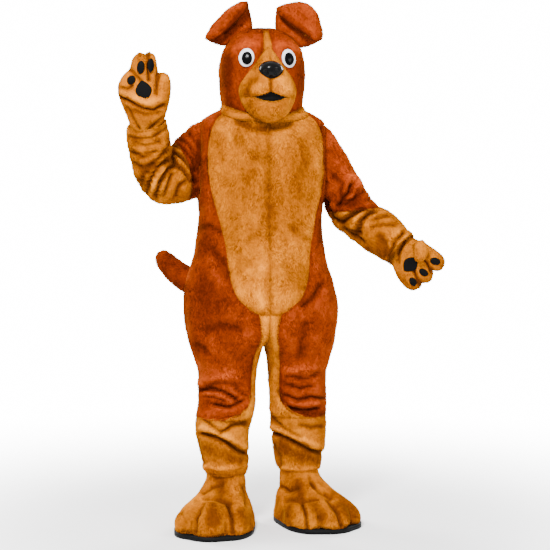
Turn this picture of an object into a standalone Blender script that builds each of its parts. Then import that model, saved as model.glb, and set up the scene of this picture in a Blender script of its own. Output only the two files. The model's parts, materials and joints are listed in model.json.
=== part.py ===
"""A dog mascot costume, hollow and filled out as it is worn.

A plush body suit with sleeves, legs and a tail, two paw mitts, two paw boots and a headpiece
with folded ears.  The costume faces -Y and its right side is at -X.  Heights are measured from
the floor, and every piece hangs from an empty that brings the wearer's shoulders to the origin.
"""

import math

import bmesh
import bpy
import numpy as np
from mathutils import Vector
from mathutils.bvhtree import BVHTree
from mathutils.geometry import delaunay_2d_cdt

for leftover in list(bpy.data.objects):
    bpy.data.objects.remove(leftover)

# ---------------------------------------------------------------- driving sizes, in metres
SHOULDER_HEIGHT = 1.46
CLOTH = 0.003
HALF_SEAM = 0.00015
SEAT = 0.0005
RIGHT, LEFT = -1, 1
SIDE_NAMES = {RIGHT: "right", LEFT: "left"}

NECK_HEIGHT = 1.530
ARMHOLE_LOW, ARMHOLE_HIGH = 1.190, 1.478
ARMHOLE_FRONT, ARMHOLE_BACK = 12.0, 24.0
BELLY_LOW = 0.785
CROTCH = 0.712
CROTCH_BLEND = 0.088
KNEE = 0.402
SHIN_HEM = 0.196

BROWN = (0.42, 0.085, 0.012, 1)
TAN = (0.66, 0.30, 0.065, 1)
BLACK = (0.012, 0.012, 0.013, 1)
WHITE = (0.85, 0.85, 0.87, 1)


# ---------------------------------------------------------------- tables and curves
def table(columns, *rows):
    """The columns of a table by name, each an array down its rows."""
    return dict(zip(columns.split(), np.array(rows, float).T))


def at(rows, key, column, place):
    """The value of a column at a place along the key column, on a smooth curve."""
    xs, ys = rows[key], rows[column]
    place = min(max(place, xs[0]), xs[-1])
    i = min(int(np.searchsorted(xs, place, side="right")) - 1, len(xs) - 2)
    slopes = np.gradient(ys, xs)
    step = xs[i + 1] - xs[i]
    t = (place - xs[i]) / step
    start = (1 + 2 * t) * (1 - t) ** 2 * ys[i] + t * (1 - t) ** 2 * step * slopes[i]
    end = t * t * (3 - 2 * t) * ys[i + 1] + t * t * (t - 1) * step * slopes[i + 1]
    return float(start + end)


def smooth_step(t):
    t = min(max(t, 0.0), 1.0)
    return t * t * (3 - 2 * t)


def power_of(value, power):
    return math.copysign(abs(value) ** power, value)


def steps(start, end, count):
    return [start + (end - start) * i / count for i in range(count + 1)]


def through(points, count, closed=False):
    """A smooth curve through points, as count places evenly shared between them."""
    points = [Vector(p) for p in points]
    total = len(points) if closed else len(points) - 1
    made = []
    for k in range(count if closed else count + 1):
        place = k * total / count
        i = min(int(place), total - 1)
        t = place - i
        if closed:
            before, a, b, after = (points[(i + o) % len(points)] for o in (-1, 0, 1, 2))
        else:
            a, b = points[i], points[i + 1]
            before = points[i - 1] if i else a + (a - b)
            after = points[i + 2] if i + 2 < len(points) else b + (b - a)
        made.append(0.5 * (2 * a + (b - before) * t + (2 * before - 5 * a + 4 * b - after) * t * t
                           + (3 * a - before - 3 * b + after) * t ** 3))
    return made


# ---------------------------------------------------------------- solids
collection = bpy.data.collections.new("dog_mascot_costume")
bpy.context.scene.collection.children.link(collection)
shoulders = bpy.data.objects.new("shoulders", None)
shoulders.location = (0, 0, -SHOULDER_HEIGHT)
collection.objects.link(shoulders)


def finish(name, mesh, colour, roughness=0.9):
    """Makes a named object of a bmesh, with its own material."""
    bmesh.ops.recalc_face_normals(mesh, faces=mesh.faces)
    data = bpy.data.meshes.new(name)
    mesh.to_mesh(data)
    mesh.free()
    data.shade_smooth()
    data.set_sharp_from_angle(angle=math.radians(50))
    material = bpy.data.materials.new(name)
    material.use_nodes = True
    shader = material.node_tree.nodes["Principled BSDF"]
    shader.inputs["Base Color"].default_value = colour
    shader.inputs["Roughness"].default_value = roughness
    shader.inputs["Metallic"].default_value = 0.0
    data.materials.append(material)
    piece = bpy.data.objects.new(name, data)
    piece.parent = shoulders
    collection.objects.link(piece)
    return piece


def wall(name, outer, inner, colour, round_it=False, keep=None, roughness=0.9):
    """A cloth wall between two grids of points: the outer sheet is laid first, then extruded
    and its copy moved to the inner points.  round_it joins the last column to the first."""
    mesh = bmesh.new()
    row_of, column_of = mesh.verts.layers.int.new("row"), mesh.verts.layers.int.new("column")
    rows, columns = len(outer), len(outer[0])
    corners = {}

    def corner(i, j):
        if (i, j) not in corners:
            corners[i, j] = mesh.verts.new(outer[i][j])
            corners[i, j][row_of], corners[i, j][column_of] = i, j
        return corners[i, j]

    for i in range(rows - 1):
        for j in range(columns if round_it else columns - 1):
            if keep is None or keep(i, j):
                k = (j + 1) % columns
                mesh.faces.new((corner(i, j), corner(i, k), corner(i + 1, k), corner(i + 1, j)))
    bmesh.ops.remove_doubles(mesh, verts=mesh.verts, dist=1e-6)
    made = bmesh.ops.extrude_face_region(mesh, geom=list(mesh.faces), use_keep_orig=True)
    for vertex in (part for part in made["geom"] if isinstance(part, bmesh.types.BMVert)):
        vertex.co = inner[vertex[row_of]][vertex[column_of]]
    return finish(name, mesh, colour, roughness)


def draw_in(grid, sides, by=HALF_SEAM):
    """Moves a grid's edge points towards their neighbours, which leaves the gap of a seam.
    sides names the edges: top and bottom are the first and last row, left and right the
    first and last column."""
    rows, columns = len(grid), len(grid[0])
    old = [list(row) for row in grid]
    moves = {"top": [((0, j), (1, j)) for j in range(columns)],
             "bottom": [((rows - 1, j), (rows - 2, j)) for j in range(columns)],
             "left": [((i, 0), (i, 1)) for i in range(rows)],
             "right": [((i, columns - 1), (i, columns - 2)) for i in range(rows)]}
    for side in sides.split():
        for (i, j), (k, m) in moves[side]:
            grid[i][j] = grid[i][j] + (old[k][m] - old[i][j]).normalized() * by
    return grid


# ---------------------------------------------------------------- the body's skin
TORSO = table(
    "height right left front back square",
    (0.560, 0.268, 0.262, 0.170, 0.165, 2.2),
    (0.693, 0.275, 0.273, 0.180, 0.172, 2.2),
    (0.781, 0.287, 0.282, 0.194, 0.176, 2.2),
    (0.839, 0.287, 0.275, 0.202, 0.174, 2.2),
    (0.898, 0.277, 0.258, 0.202, 0.168, 2.2),
    (0.956, 0.259, 0.235, 0.196, 0.160, 2.3),
    (1.015, 0.245, 0.224, 0.186, 0.152, 2.4),
    (1.073, 0.237, 0.218, 0.178, 0.146, 2.5),
    (1.131, 0.231, 0.213, 0.170, 0.142, 2.6),
    (1.190, 0.232, 0.220, 0.164, 0.140, 2.8),
    (1.280, 0.230, 0.226, 0.160, 0.138, 2.9),
    (1.360, 0.230, 0.228, 0.156, 0.134, 2.9),
    (1.430, 0.229, 0.227, 0.151, 0.132, 2.8),
    (1.460, 0.226, 0.225, 0.146, 0.134, 2.7),
    (1.478, 0.219, 0.219, 0.133, 0.134, 2.5),
    (1.490, 0.200, 0.200, 0.119, 0.132, 2.4),
    (1.508, 0.163, 0.163, 0.104, 0.126, 2.3),
    (1.530, 0.122, 0.122, 0.092, 0.112, 2.2),
)

LEGS = table(
    "height right_middle right_half right_y left_middle left_half left_y deep",
    (0.190, 0.134, 0.076, -0.004, 0.143, 0.079, 0.040, 0.078),
    (0.221, 0.138, 0.083, -0.004, 0.142, 0.087, 0.038, 0.086),
    (0.280, 0.143, 0.092, -0.004, 0.142, 0.098, 0.034, 0.096),
    (0.339, 0.149, 0.097, -0.003, 0.140, 0.103, 0.030, 0.102),
    (0.398, 0.140, 0.105, -0.002, 0.138, 0.105, 0.026, 0.108),
    (0.457, 0.131, 0.105, -0.001, 0.138, 0.106, 0.020, 0.110),
    (0.516, 0.131, 0.105, 0.000, 0.132, 0.106, 0.014, 0.112),
    (0.575, 0.128, 0.106, 0.000, 0.133, 0.109, 0.008, 0.122),
    (0.634, 0.132, 0.124, 0.000, 0.137, 0.122, 0.003, 0.146),
    (0.700, 0.138, 0.137, 0.000, 0.137, 0.136, 0.000, 0.170),
)

# Half the belly panel's width, and below it how far the rust front panel reaches round the leg.
BELLY = table(
    "height half",
    (0.700, 0.036), (0.770, 0.036), (0.790, 0.044), (0.803, 0.074), (0.825, 0.104),
    (0.855, 0.125), (0.885, 0.136), (0.920, 0.142), (0.975, 0.149), (1.030, 0.155),
    (1.080, 0.165), (1.150, 0.183), (1.220, 0.200), (1.275, 0.209), (1.365, 0.210),
    (1.425, 0.203), (1.455, 0.192), (1.490, 0.164), (1.530, 0.100),
)
THIGH_EDGE = table(
    "height turn",
    (0.402, 6.0), (0.420, -22.0), (0.440, -37.0), (0.465, -45.0), (0.520, -48.0),
    (0.600, -46.0), (0.700, -38.0),
)

# Folds that the weight of the cloth makes: the turn and the height where each lies, its half
# length in degrees, its rise over a degree, half its width, and how far it stands out.
BODY_FOLDS = table(
    "side turn place reach drift width out",
    (RIGHT, 10, 0.462, 60, 0.00010, 0.016, -0.012),
    (RIGHT, 5, 0.432, 45, -0.00015, 0.013, -0.009),
    (RIGHT, 12, 0.447, 60, 0.00005, 0.012, 0.006),
    (LEFT, 15, 0.466, 55, -0.00020, 0.016, -0.010),
    (LEFT, 25, 0.436, 45, 0.00020, 0.014, -0.008),
    (LEFT, 12, 0.450, 60, 0.00000, 0.012, 0.005),
    (RIGHT, 15, 0.300, 75, -0.00050, 0.016, -0.009),
    (RIGHT, 170, 0.440, 60, 0.00020, 0.016, -0.012),
    (LEFT, -5, 0.315, 70, 0.00060, 0.016, -0.009),
    (LEFT, 175, 0.445, 60, -0.00020, 0.016, -0.012),
    (RIGHT, 60, 0.245, 80, 0.00020, 0.014, -0.006),
    (LEFT, 45, 0.250, 80, -0.00020, 0.014, -0.006),
)


def half_torso(side, turn, height):
    """The torso's outline, turned 0 to 180 degrees from centre front round to centre back."""
    width = at(TORSO, "height", SIDE_NAMES[side], height)
    depth = at(TORSO, "height", "front" if turn < 90 else "back", height)
    power = 2 / at(TORSO, "height", "square", height)
    x = width * power_of(math.sin(math.radians(turn)), power)
    y = -depth * power_of(math.cos(math.radians(turn)), power)
    return Vector((side * (HALF_SEAM + x), y, height))


def plain_skin(side, turn, height):
    """The body without folds.  Round each half the turn runs from -45 degrees at the centre
    front, by 90 at the side seam, to 225 at the centre back and on round the inner leg."""
    if height > CROTCH:
        return half_torso(side, (turn + 45) / 1.5, height)
    turn = (turn + 45) % 360 - 45
    if turn <= 225:
        torso = half_torso(side, (turn + 45) / 1.5, height)
    else:
        back, front = half_torso(side, 180, height), half_torso(side, 0, height)
        torso = back.lerp(front, (turn - 225) / 90)
    name = SIDE_NAMES[side]
    middle = at(LEGS, "height", name + "_middle", height)
    half = at(LEGS, "height", name + "_half", height)
    deep = at(LEGS, "height", "deep", height)
    angle = math.radians(turn)
    leg = Vector((side * (middle + half * math.sin(angle)),
                  at(LEGS, "height", name + "_y", height) - deep * math.cos(angle), height))
    return torso.lerp(leg, smooth_step((CROTCH - height) / CROTCH_BLEND))


def skin_normal(side, turn, height):
    ahead = plain_skin(side, turn + 1, height) - plain_skin(side, turn - 1, height)
    low, high = height - 0.002, height + 0.002
    if abs(height - CROTCH) < 0.002:
        high = CROTCH
    upward = plain_skin(side, turn, high) - plain_skin(side, turn, low)
    return (ahead.cross(upward) * side).normalized()


def fold_depth(rows, side, turn, place):
    """How far all of a table's folds together move a point out."""
    out = 0.0
    for k in range(len(rows["side"])):
        if rows["side"][k] != side:
            continue
        away = (turn - rows["turn"][k] + 180) % 360 - 180
        along = away / rows["reach"][k]
        across = (place - rows["place"][k] - away * rows["drift"][k]) / rows["width"][k]
        if abs(along) < 1:
            out += rows["out"][k] * (1 - along * along) ** 2 * math.exp(-across * across)
    return out


def skin(side, turn, height):
    out = fold_depth(BODY_FOLDS, side, turn, height)
    return plain_skin(side, turn, height) + skin_normal(side, turn, height) * out


def front_edge(side, height):
    """The turn at which the rust front panel begins."""
    if height <= CROTCH:
        return at(THIGH_EDGE, "height", "turn", height)
    width = at(TORSO, "height", SIDE_NAMES[side], height)
    square = at(TORSO, "height", "square", height)
    share = min(at(BELLY, "height", "half", height) / width, 0.97)
    return 1.5 * math.degrees(math.asin(share ** (square / 2))) - 45


def armhole(angle):
    """How far the armhole's edge lies from the side seam, and its height."""
    middle, half = (ARMHOLE_HIGH + ARMHOLE_LOW) / 2, (ARMHOLE_HIGH - ARMHOLE_LOW) / 2
    reach = 1.5 * (ARMHOLE_FRONT if math.sin(angle) > 0 else ARMHOLE_BACK)
    return -reach * math.sin(angle), middle + half * math.cos(angle)


def side_opening(height, angle_side):
    """The armhole's edge at a height, in front (1) or behind (-1), as a turn."""
    middle, half = (ARMHOLE_HIGH + ARMHOLE_LOW) / 2, (ARMHOLE_HIGH - ARMHOLE_LOW) / 2
    share = (height - middle) / half
    if abs(share) >= 1 - 1e-9:
        return 90.0
    return 90.0 + armhole(angle_side * math.acos(share))[0]


ARMHOLE_STEPS = 8
armhole_heights = [armhole(math.pi * k / ARMHOLE_STEPS)[1] for k in range(ARMHOLE_STEPS + 1)]
YOKE_HEIGHTS = [NECK_HEIGHT, 1.514, 1.496]
TRUNK_HEIGHTS = [1.144, 1.098, 1.052, 1.006, 0.962, 0.920, 0.880, 0.846, 0.816, BELLY_LOW]
SEAT_HEIGHTS = [0.750, CROTCH]
THIGH_HEIGHTS = [0.676, 0.646, 0.612, 0.574, 0.532, 0.494, 0.472, 0.456, 0.440, 0.422, KNEE]
SHIN_HEIGHTS = [KNEE, 0.370, 0.340, 0.314, 0.290, 0.264, 0.240, 0.222]
above_seat = YOKE_HEIGHTS + armhole_heights + TRUNK_HEIGHTS


def body_panel(name, side, turns_at, heights, colour, sides, keep=None, gap=HALF_SEAM):
    """A panel of the body suit: turns_at gives its columns at a height."""
    outer, inner = [], []
    for height in heights:
        turns = turns_at(height)
        outer.append([skin(side, turn, height) for turn in turns])
        inner.append([skin(side, turn, height) - skin_normal(side, turn, height) * CLOTH
                      for turn in turns])
    wall(name, draw_in(outer, sides, gap), draw_in(inner, sides, gap), colour, keep=keep)


def inner_leg_turns(side, height, round_leg):
    """The inner leg's columns: round the inside of the leg, then two to the front panel; above
    the crotch only these last are used, from the centre front."""
    edge = front_edge(side, height)
    if height > CROTCH:
        return [225] * round_leg + steps(-45, edge, 2)
    corner = min(315, 356 + edge)
    return steps(225, corner, round_leg) + steps(corner, 360 + edge, 2)[1:]


def body_suit(side):
    name = SIDE_NAMES[side]
    body_panel("belly_" + name, side, lambda z: steps(-45, front_edge(side, z), 4),
               above_seat, TAN, "right bottom")
    body_panel("front_" + name, side,
               lambda z: steps(front_edge(side, z), side_opening(z, 1), 4),
               above_seat + SEAT_HEIGHTS + THIGH_HEIGHTS, BROWN, "left right bottom")
    body_panel("back_" + name, side, lambda z: steps(side_opening(z, -1), 225, 6),
               above_seat + SEAT_HEIGHTS + THIGH_HEIGHTS, BROWN, "left bottom")
    round_leg = 6
    body_panel("inner_leg_" + name, side,
               lambda z: inner_leg_turns(side, z, round_leg),
               [BELLY_LOW] + SEAT_HEIGHTS + THIGH_HEIGHTS, TAN, "top left right bottom",
               keep=lambda i, j: i > 1 or j >= round_leg, gap=4 * HALF_SEAM)


# The hem's last rings: the height of each, and how far it lies off the boot's shaft.
HEM_OUTSIDE = ((0.208, 0.0105), (0.199, 0.0060), (SHIN_HEM, 0.0048))
HEM_INSIDE = ((0.211, 0.0065), (0.2045, 0.0018), (SHIN_HEM, 0.0011))


def shin(side):
    """The lower leg: a tube whose puffed end is gathered in on to the boot's shaft."""
    turns = steps(-45, 315, 18)[:-1]
    outer = [[skin(side, turn, z) for turn in turns] for z in SHIN_HEIGHTS]
    inner = [[skin(side, turn, z) - skin_normal(side, turn, z) * CLOTH for turn in turns]
             for z in SHIN_HEIGHTS]
    middle = ankle(side)
    for rings, gathers in ((outer, HEM_OUTSIDE), (inner, HEM_INSIDE)):
        for height, out in gathers:
            lifted = middle + Vector((0, 0, height))
            rings.append([lifted + shaft_point(turn, out, side) for turn in turns])
    wall("shin_" + SIDE_NAMES[side], draw_in(outer, "top", 3 * HALF_SEAM),
         draw_in(inner, "top", 3 * HALF_SEAM), TAN, round_it=True)


# ---------------------------------------------------------------- boots
SHAFT_HALF, SHAFT_DEEP = 0.070, 0.073
SHAFT_TOP = 0.235
SOLE_THICK = 0.016
BOOT_TURN = {RIGHT: math.radians(18), LEFT: math.radians(18)}
FOOT_OUT = {RIGHT: 0.022, LEFT: 0.034}
BOOT = table(
    "height spread",
    (0.0163, 0.965), (0.034, 1.000), (0.054, 0.955), (0.074, 0.800), (0.092, 0.600),
    (0.108, 0.405), (0.124, 0.255), (0.142, 0.145), (0.162, 0.060), (0.184, 0.0), (0.235, 0.0),
)
TOE_SPAN = math.radians(34)
TOE_GROOVE = 0.15
FRONT_FULLER = 0.35
INNER_SLIM = 0.22
SOLE_GROOVE = 0.06


def ankle(side):
    name = SIDE_NAMES[side]
    return Vector((side * at(LEGS, "height", name + "_middle", SHIN_HEM),
                   at(LEGS, "height", name + "_y", SHIN_HEM), 0.0))


def shaft_point(turn, out, side):
    angle = math.radians(turn)
    return Vector((side * (SHAFT_HALF + out) * math.sin(angle),
                   -(SHAFT_DEEP + out) * math.cos(angle), 0.0))


def boot_outline(angle, groove):
    """The boot from above, by the angle from its toe: a rounded foot with three toes."""
    front = 0.250 if math.cos(angle) > 0 else 0.125
    half = 0.128 + 0.040 * max(0.0, math.cos(angle))
    power = 2.5
    reach = (abs(math.sin(angle) / half) ** power + abs(math.cos(angle) / front) ** power)
    reach = reach ** (-1 / power)
    away = math.atan2(math.sin(angle), math.cos(angle))
    if abs(away) < 1.5 * TOE_SPAN:
        reach *= 1 - groove * (1 - abs(math.cos(math.pi * away / TOE_SPAN)) ** 0.6)
    return reach


def boot_turns():
    """Columns round the boot, closest over the toes; 0 is the toe, and they run outwards."""
    toes = steps(-1.5 * TOE_SPAN, 1.5 * TOE_SPAN, 12)
    heel = steps(1.5 * TOE_SPAN, math.tau - 1.5 * TOE_SPAN, 9)[1:-1]
    return toes + heel


def boot_point(side, angle, height):
    spread = max(0.0, at(BOOT, "height", "spread", height))
    if spread > 0.01:
        spread = spread ** (1 - FRONT_FULLER * max(0.0, math.cos(angle)))
    inner_side = max(0.0, -math.sin(angle)) * smooth_step((height - SOLE_THICK) / 0.040)
    spread *= 1 - INNER_SLIM * inner_side
    turned = angle + BOOT_TURN[side]
    shaft = shaft_point(math.degrees(turned), 0.0, side)
    reach = boot_outline(angle, TOE_GROOVE * smooth_step((spread - 0.15) / 0.5))
    point = shaft.lerp(sole_point(side, angle, reach), spread) + ankle(side)
    point.z = height
    return point


def sole_point(side, angle, reach):
    turned = angle + BOOT_TURN[side]
    return Vector((side * (FOOT_OUT[side] + math.sin(turned) * reach),
                   -math.cos(turned) * reach, 0.0))


def boot_normal(side, angle, height):
    ahead = boot_point(side, angle + 0.02, height) - boot_point(side, angle - 0.02, height)
    upward = boot_point(side, angle, height + 0.002) - boot_point(side, angle, height - 0.002)
    return (ahead.cross(upward) * side).normalized()


def boot(side):
    """The plush upper, open at the top of its shaft, and the flat sole under it."""
    name = SIDE_NAMES[side]
    turns = boot_turns()
    outer = [[boot_point(side, a, z) for a in turns] for z in BOOT["height"]]
    inner = [[boot_point(side, a, z) - boot_normal(side, a, z) * CLOTH for a in turns]
             for z in BOOT["height"]]
    wall("boot_" + name, outer, inner, TAN, round_it=True)
    mesh = bmesh.new()
    rim = [ankle(side) + sole_point(side, a, boot_outline(a, SOLE_GROOVE) * 1.005) for a in turns]
    face = mesh.faces.new([mesh.verts.new(point) for point in rim])
    raised = bmesh.ops.extrude_face_region(mesh, geom=[face], use_keep_orig=True)
    for vertex in (part for part in raised["geom"] if isinstance(part, bmesh.types.BMVert)):
        vertex.co.z = SOLE_THICK
    finish("sole_" + name, mesh, BLACK, 0.6)


# ---------------------------------------------------------------- sleeves
# Each row is a ring of the sleeve: its top (or inner) point, its under (or outer) point, half
# its depth from front to back, and how far its front runs ahead of the rest of the ring.
SLEEVES = {
    RIGHT: table(
        "top_x top_y top_z low_x low_y low_z deep lead",
        (-0.259, 0.020, 1.458, -0.238, 0.022, 1.196, 0.078, 0.004),
        (-0.293, 0.012, 1.428, -0.256, 0.014, 1.190, 0.088, 0.010),
        (-0.321, 0.004, 1.394, -0.274, 0.006, 1.184, 0.090, 0.018),
        (-0.331, -0.012, 1.368, -0.305, -0.013, 1.176, 0.088, 0.020),
        (-0.334, -0.033, 1.348, -0.349, -0.031, 1.170, 0.086, 0.014),
        (-0.335, -0.058, 1.338, -0.397, -0.049, 1.177, 0.083, 0.008),
        (-0.336, -0.078, 1.335, -0.433, -0.063, 1.206, 0.080, 0.0),
        (-0.337, -0.094, 1.340, -0.459, -0.079, 1.248, 0.078, 0.0),
        (-0.338, -0.110, 1.352, -0.477, -0.092, 1.298, 0.078, 0.0),
        (-0.341, -0.126, 1.378, -0.487, -0.106, 1.350, 0.078, 0.0),
        (-0.347, -0.143, 1.412, -0.495, -0.122, 1.396, 0.078, 0.0),
        (-0.353, -0.153, 1.440, -0.498, -0.134, 1.424, 0.077, 0.0),
        (-0.356, -0.160, 1.456, -0.495, -0.139, 1.438, 0.073, 0.0),
    ),
    LEFT: table(
        "top_x top_y top_z low_x low_y low_z deep lead",
        (0.267, -0.002, 1.425, 0.228, 0.005, 1.188, 0.074, 0.0),
        (0.304, 0.008, 1.367, 0.232, 0.012, 1.180, 0.086, 0.0),
        (0.341, 0.014, 1.302, 0.236, 0.020, 1.171, 0.092, 0.0),
        (0.385, 0.018, 1.232, 0.240, 0.026, 1.160, 0.092, 0.0),
        (0.440, 0.016, 1.168, 0.246, 0.030, 1.144, 0.090, 0.0),
        (0.472, 0.008, 1.150, 0.258, 0.032, 1.116, 0.088, 0.0),
        (0.491, -0.007, 1.134, 0.282, 0.023, 1.088, 0.086, 0.0),
        (0.509, -0.022, 1.114, 0.315, 0.007, 1.061, 0.082, 0.0),
        (0.521, -0.040, 1.096, 0.354, -0.016, 1.029, 0.080, 0.0),
        (0.532, -0.058, 1.082, 0.399, -0.041, 0.997, 0.078, 0.0),
        (0.542, -0.075, 1.071, 0.436, -0.061, 0.971, 0.076, 0.0),
        (0.546, -0.083, 1.062, 0.459, -0.073, 0.955, 0.072, 0.0),
    ),
}
UPPER_SLEEVE_RINGS = {RIGHT: 3, LEFT: 5}
SLEEVE_COLUMNS = 2 * ARMHOLE_STEPS

# Folds of the sleeves, in the same columns; the places, drifts and widths are in rings.
SLEEVE_FOLDS = table(
    "side place turn reach drift width out",
    (RIGHT, 1.0, 80, 80, -0.0060, 0.45, -0.008),
    (RIGHT, 2.3, 80, 80, -0.0080, 0.45, -0.009),
    (RIGHT, 4.6, 90, 80, 0.0080, 0.50, -0.010),
    (RIGHT, 6.2, 100, 90, 0.0060, 0.50, -0.010),
    (RIGHT, 7.6, 60, 80, 0.0060, 0.50, -0.009),
    (LEFT, 2.2, 110, 80, 0.0080, 0.50, -0.009),
    (LEFT, 4.3, 110, 80, 0.0080, 0.50, -0.010),
    (LEFT, 6.0, 120, 90, 0.0080, 0.50, -0.011),
    (LEFT, 8.0, 120, 90, 0.0060, 0.50, -0.009),
    (LEFT, 9.6, 60, 90, 0.0040, 0.50, -0.006),
)


def sleeve_ring(side, ring, angle):
    """A point of a sleeve, its ring counted from the armhole at 0, its angle from the top."""
    if ring <= 0:
        away, height = armhole(angle)
        return skin(side, 90 + away, height)
    rows = SLEEVES[side]
    k = ring - 1
    top = Vector([rows["top_" + c][k] for c in "xyz"])
    low = Vector([rows["low_" + c][k] for c in "xyz"])
    before, after = max(k - 1, 0), min(k + 1, len(rows["deep"]) - 1)
    ahead = sum((Vector([rows[end + c][after] - rows[end + c][before] for c in "xyz"])
                 for end in ("top_", "low_")), Vector()).normalized()
    half = (top - low) / 2
    front = half.cross(ahead).normalized()
    if front.y > 0:
        front = -front
    sine = math.sin(angle)
    lead = ahead * rows["lead"][k] * max(0.0, sine)
    return (top + low) / 2 + half * math.cos(angle) + front * rows["deep"][k] * sine + lead


def sleeve_grids(side):
    """The sleeve's outer and inner rings, with its folds, from the armhole to the hem."""
    rings = len(SLEEVES[side]["deep"]) + 1
    angles = [math.tau * j / SLEEVE_COLUMNS for j in range(SLEEVE_COLUMNS)]
    plain = [[sleeve_ring(side, i, a) for a in angles] for i in range(rings)]
    outer, inner = [], []
    for i in range(rings):
        middle = sum(plain[i], Vector()) / SLEEVE_COLUMNS
        quarter = SLEEVE_COLUMNS // 4
        axis = (plain[i][0] - plain[i][2 * quarter]).cross(
            plain[i][quarter] - plain[i][3 * quarter]).normalized()
        outside, inside = [], []
        for j in range(SLEEVE_COLUMNS):
            round_it = plain[i][(j + 1) % SLEEVE_COLUMNS] - plain[i][j - 1]
            along = plain[min(i + 1, rings - 1)][j] - plain[max(i - 1, 0)][j]
            normal = round_it.cross(along).normalized()
            if normal.dot(plain[i][j] - middle) < 0:
                normal = -normal
            if i:
                normal = (normal - axis * normal.dot(axis)).normalized()
            out = fold_depth(SLEEVE_FOLDS, side, math.degrees(angles[j]), i)
            outside.append(plain[i][j] + normal * out)
            inside.append(plain[i][j] + normal * (out - CLOTH))
        outer.append(outside)
        inner.append(inside)
    return outer, inner


def sleeve(side):
    name = SIDE_NAMES[side]
    outer, inner = sleeve_grids(side)
    seam = UPPER_SLEEVE_RINGS[side]
    outer[0] = [point + (outer[1][j] - point).normalized() * HALF_SEAM * 4
                for j, point in enumerate(outer[0])]
    inner[0] = [point + (inner[1][j] - point).normalized() * HALF_SEAM * 4
                for j, point in enumerate(inner[0])]
    gap = 2 * HALF_SEAM
    wall("upper_sleeve_" + name, draw_in(outer[:seam + 1], "bottom", gap),
         draw_in(inner[:seam + 1], "bottom", gap), BROWN, round_it=True)
    wall("lower_sleeve_" + name, draw_in(outer[seam:], "top", gap),
         draw_in(inner[seam:], "top", gap), TAN, round_it=True)


# ---------------------------------------------------------------- mitts
# A mitt is cut as a palm and a back of one outline, filled out between them.  The outline runs
# from the wrist's near corner round the fingertips to its far corner, in the hand's own plane:
# x across the palm, y towards the fingertips.
MITTS = {
    RIGHT: dict(
        place=Vector((-0.435, -0.174, 1.563)),
        across=Vector((0.988, -0.156, 0.0)),
        along=Vector((0.0, 0.0, 1.0)),
        half_thick=0.036,
        curl=0.35,
        wrist=(-0.080, 0.50),
        outline=[(-0.050, -0.160), (-0.056, -0.112), (-0.073, -0.065), (-0.088, -0.028),
                 (-0.094, 0.008), (-0.084, 0.037), (-0.065, 0.061), (-0.049, 0.070),
                 (-0.045, 0.099), (-0.028, 0.121), (-0.006, 0.127), (0.007, 0.114),
                 (0.021, 0.127), (0.038, 0.119), (0.045, 0.092), (0.049, 0.050),
                 (0.060, 0.059), (0.078, 0.059), (0.090, 0.041), (0.093, 0.008),
                 (0.087, -0.036), (0.074, -0.083), (0.060, -0.120), (0.053, -0.160)],
        pads=[("pad_palm", 0.001, -0.006, 0.028, 0.033, 10),
              ("pad_finger_1", -0.041, 0.030, 0.015, 0.017, -40),
              ("pad_finger_2", -0.008, 0.072, 0.014, 0.024, -8),
              ("pad_finger_3", 0.026, 0.080, 0.011, 0.024, -4)],
    ),
    LEFT: dict(
        place=Vector((0.541, -0.090, 0.959)),
        across=Vector((-0.699, 0.110, -0.707)),
        along=Vector((0.699, -0.110, -0.707)),
        half_thick=0.036,
        curl=0.9,
        wrist=(-0.050, 0.45),
        outline=[(-0.058, -0.100), (-0.063, -0.080), (-0.070, -0.058), (-0.087, -0.018),
                 (-0.097, 0.035), (-0.097, 0.062), (-0.087, 0.081), (-0.066, 0.090),
                 (-0.044, 0.085), (-0.033, 0.068), (-0.024, 0.083), (-0.009, 0.090),
                 (0.011, 0.088), (0.026, 0.078), (0.033, 0.066), (0.043, 0.079),
                 (0.061, 0.078), (0.080, 0.058), (0.081, 0.026), (0.074, -0.009),
                 (0.063, -0.036), (0.054, -0.058), (0.050, -0.080), (0.046, -0.100)],
        pads=[("pad_palm", 0.010, -0.006, 0.030, 0.026, 0),
              ("pad_finger_1", -0.061, 0.049, 0.014, 0.020, 32),
              ("pad_finger_2", -0.003, 0.048, 0.013, 0.019, 12),
              ("pad_finger_3", 0.048, 0.045, 0.013, 0.018, -14)],
    ),
}
MITT_CELL = 0.021
MITT_ROUND = 0.040
PAD_THICK = 0.0035
PALM_LOBES = 0.10
THUMB_RADIUS = 0.026
THUMB_PATH = [(-0.062, -0.046), (-0.056, -0.026), (-0.042, -0.010), (-0.020, -0.002)]


def outline_points(points, spacing):
    """A smooth outline through points, closed by a straight wrist."""
    curve = through([(x, y, 0.0) for x, y in points], 4 * len(points))
    made = [curve[0]]
    for point in curve[1:]:
        if (point - made[-1]).length >= spacing:
            made.append(point)
    made[-1] = curve[-1]
    return made


def edge_distance(point, rim):
    """How far a point lies from the sewn edge, which leaves out the wrist, and the way there."""
    nearest, inward = 1.0, Vector()
    for a, b in zip(rim, rim[1:]):
        line = b - a
        share = min(max((point - a).dot(line) / line.length_squared, 0.0), 1.0)
        away = point - a - line * share
        if away.length < nearest:
            nearest = away.length
            inward = away.normalized() if nearest > 1e-5 else Vector((line.y, -line.x, 0)).normalized()
    return nearest, inward


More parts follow.
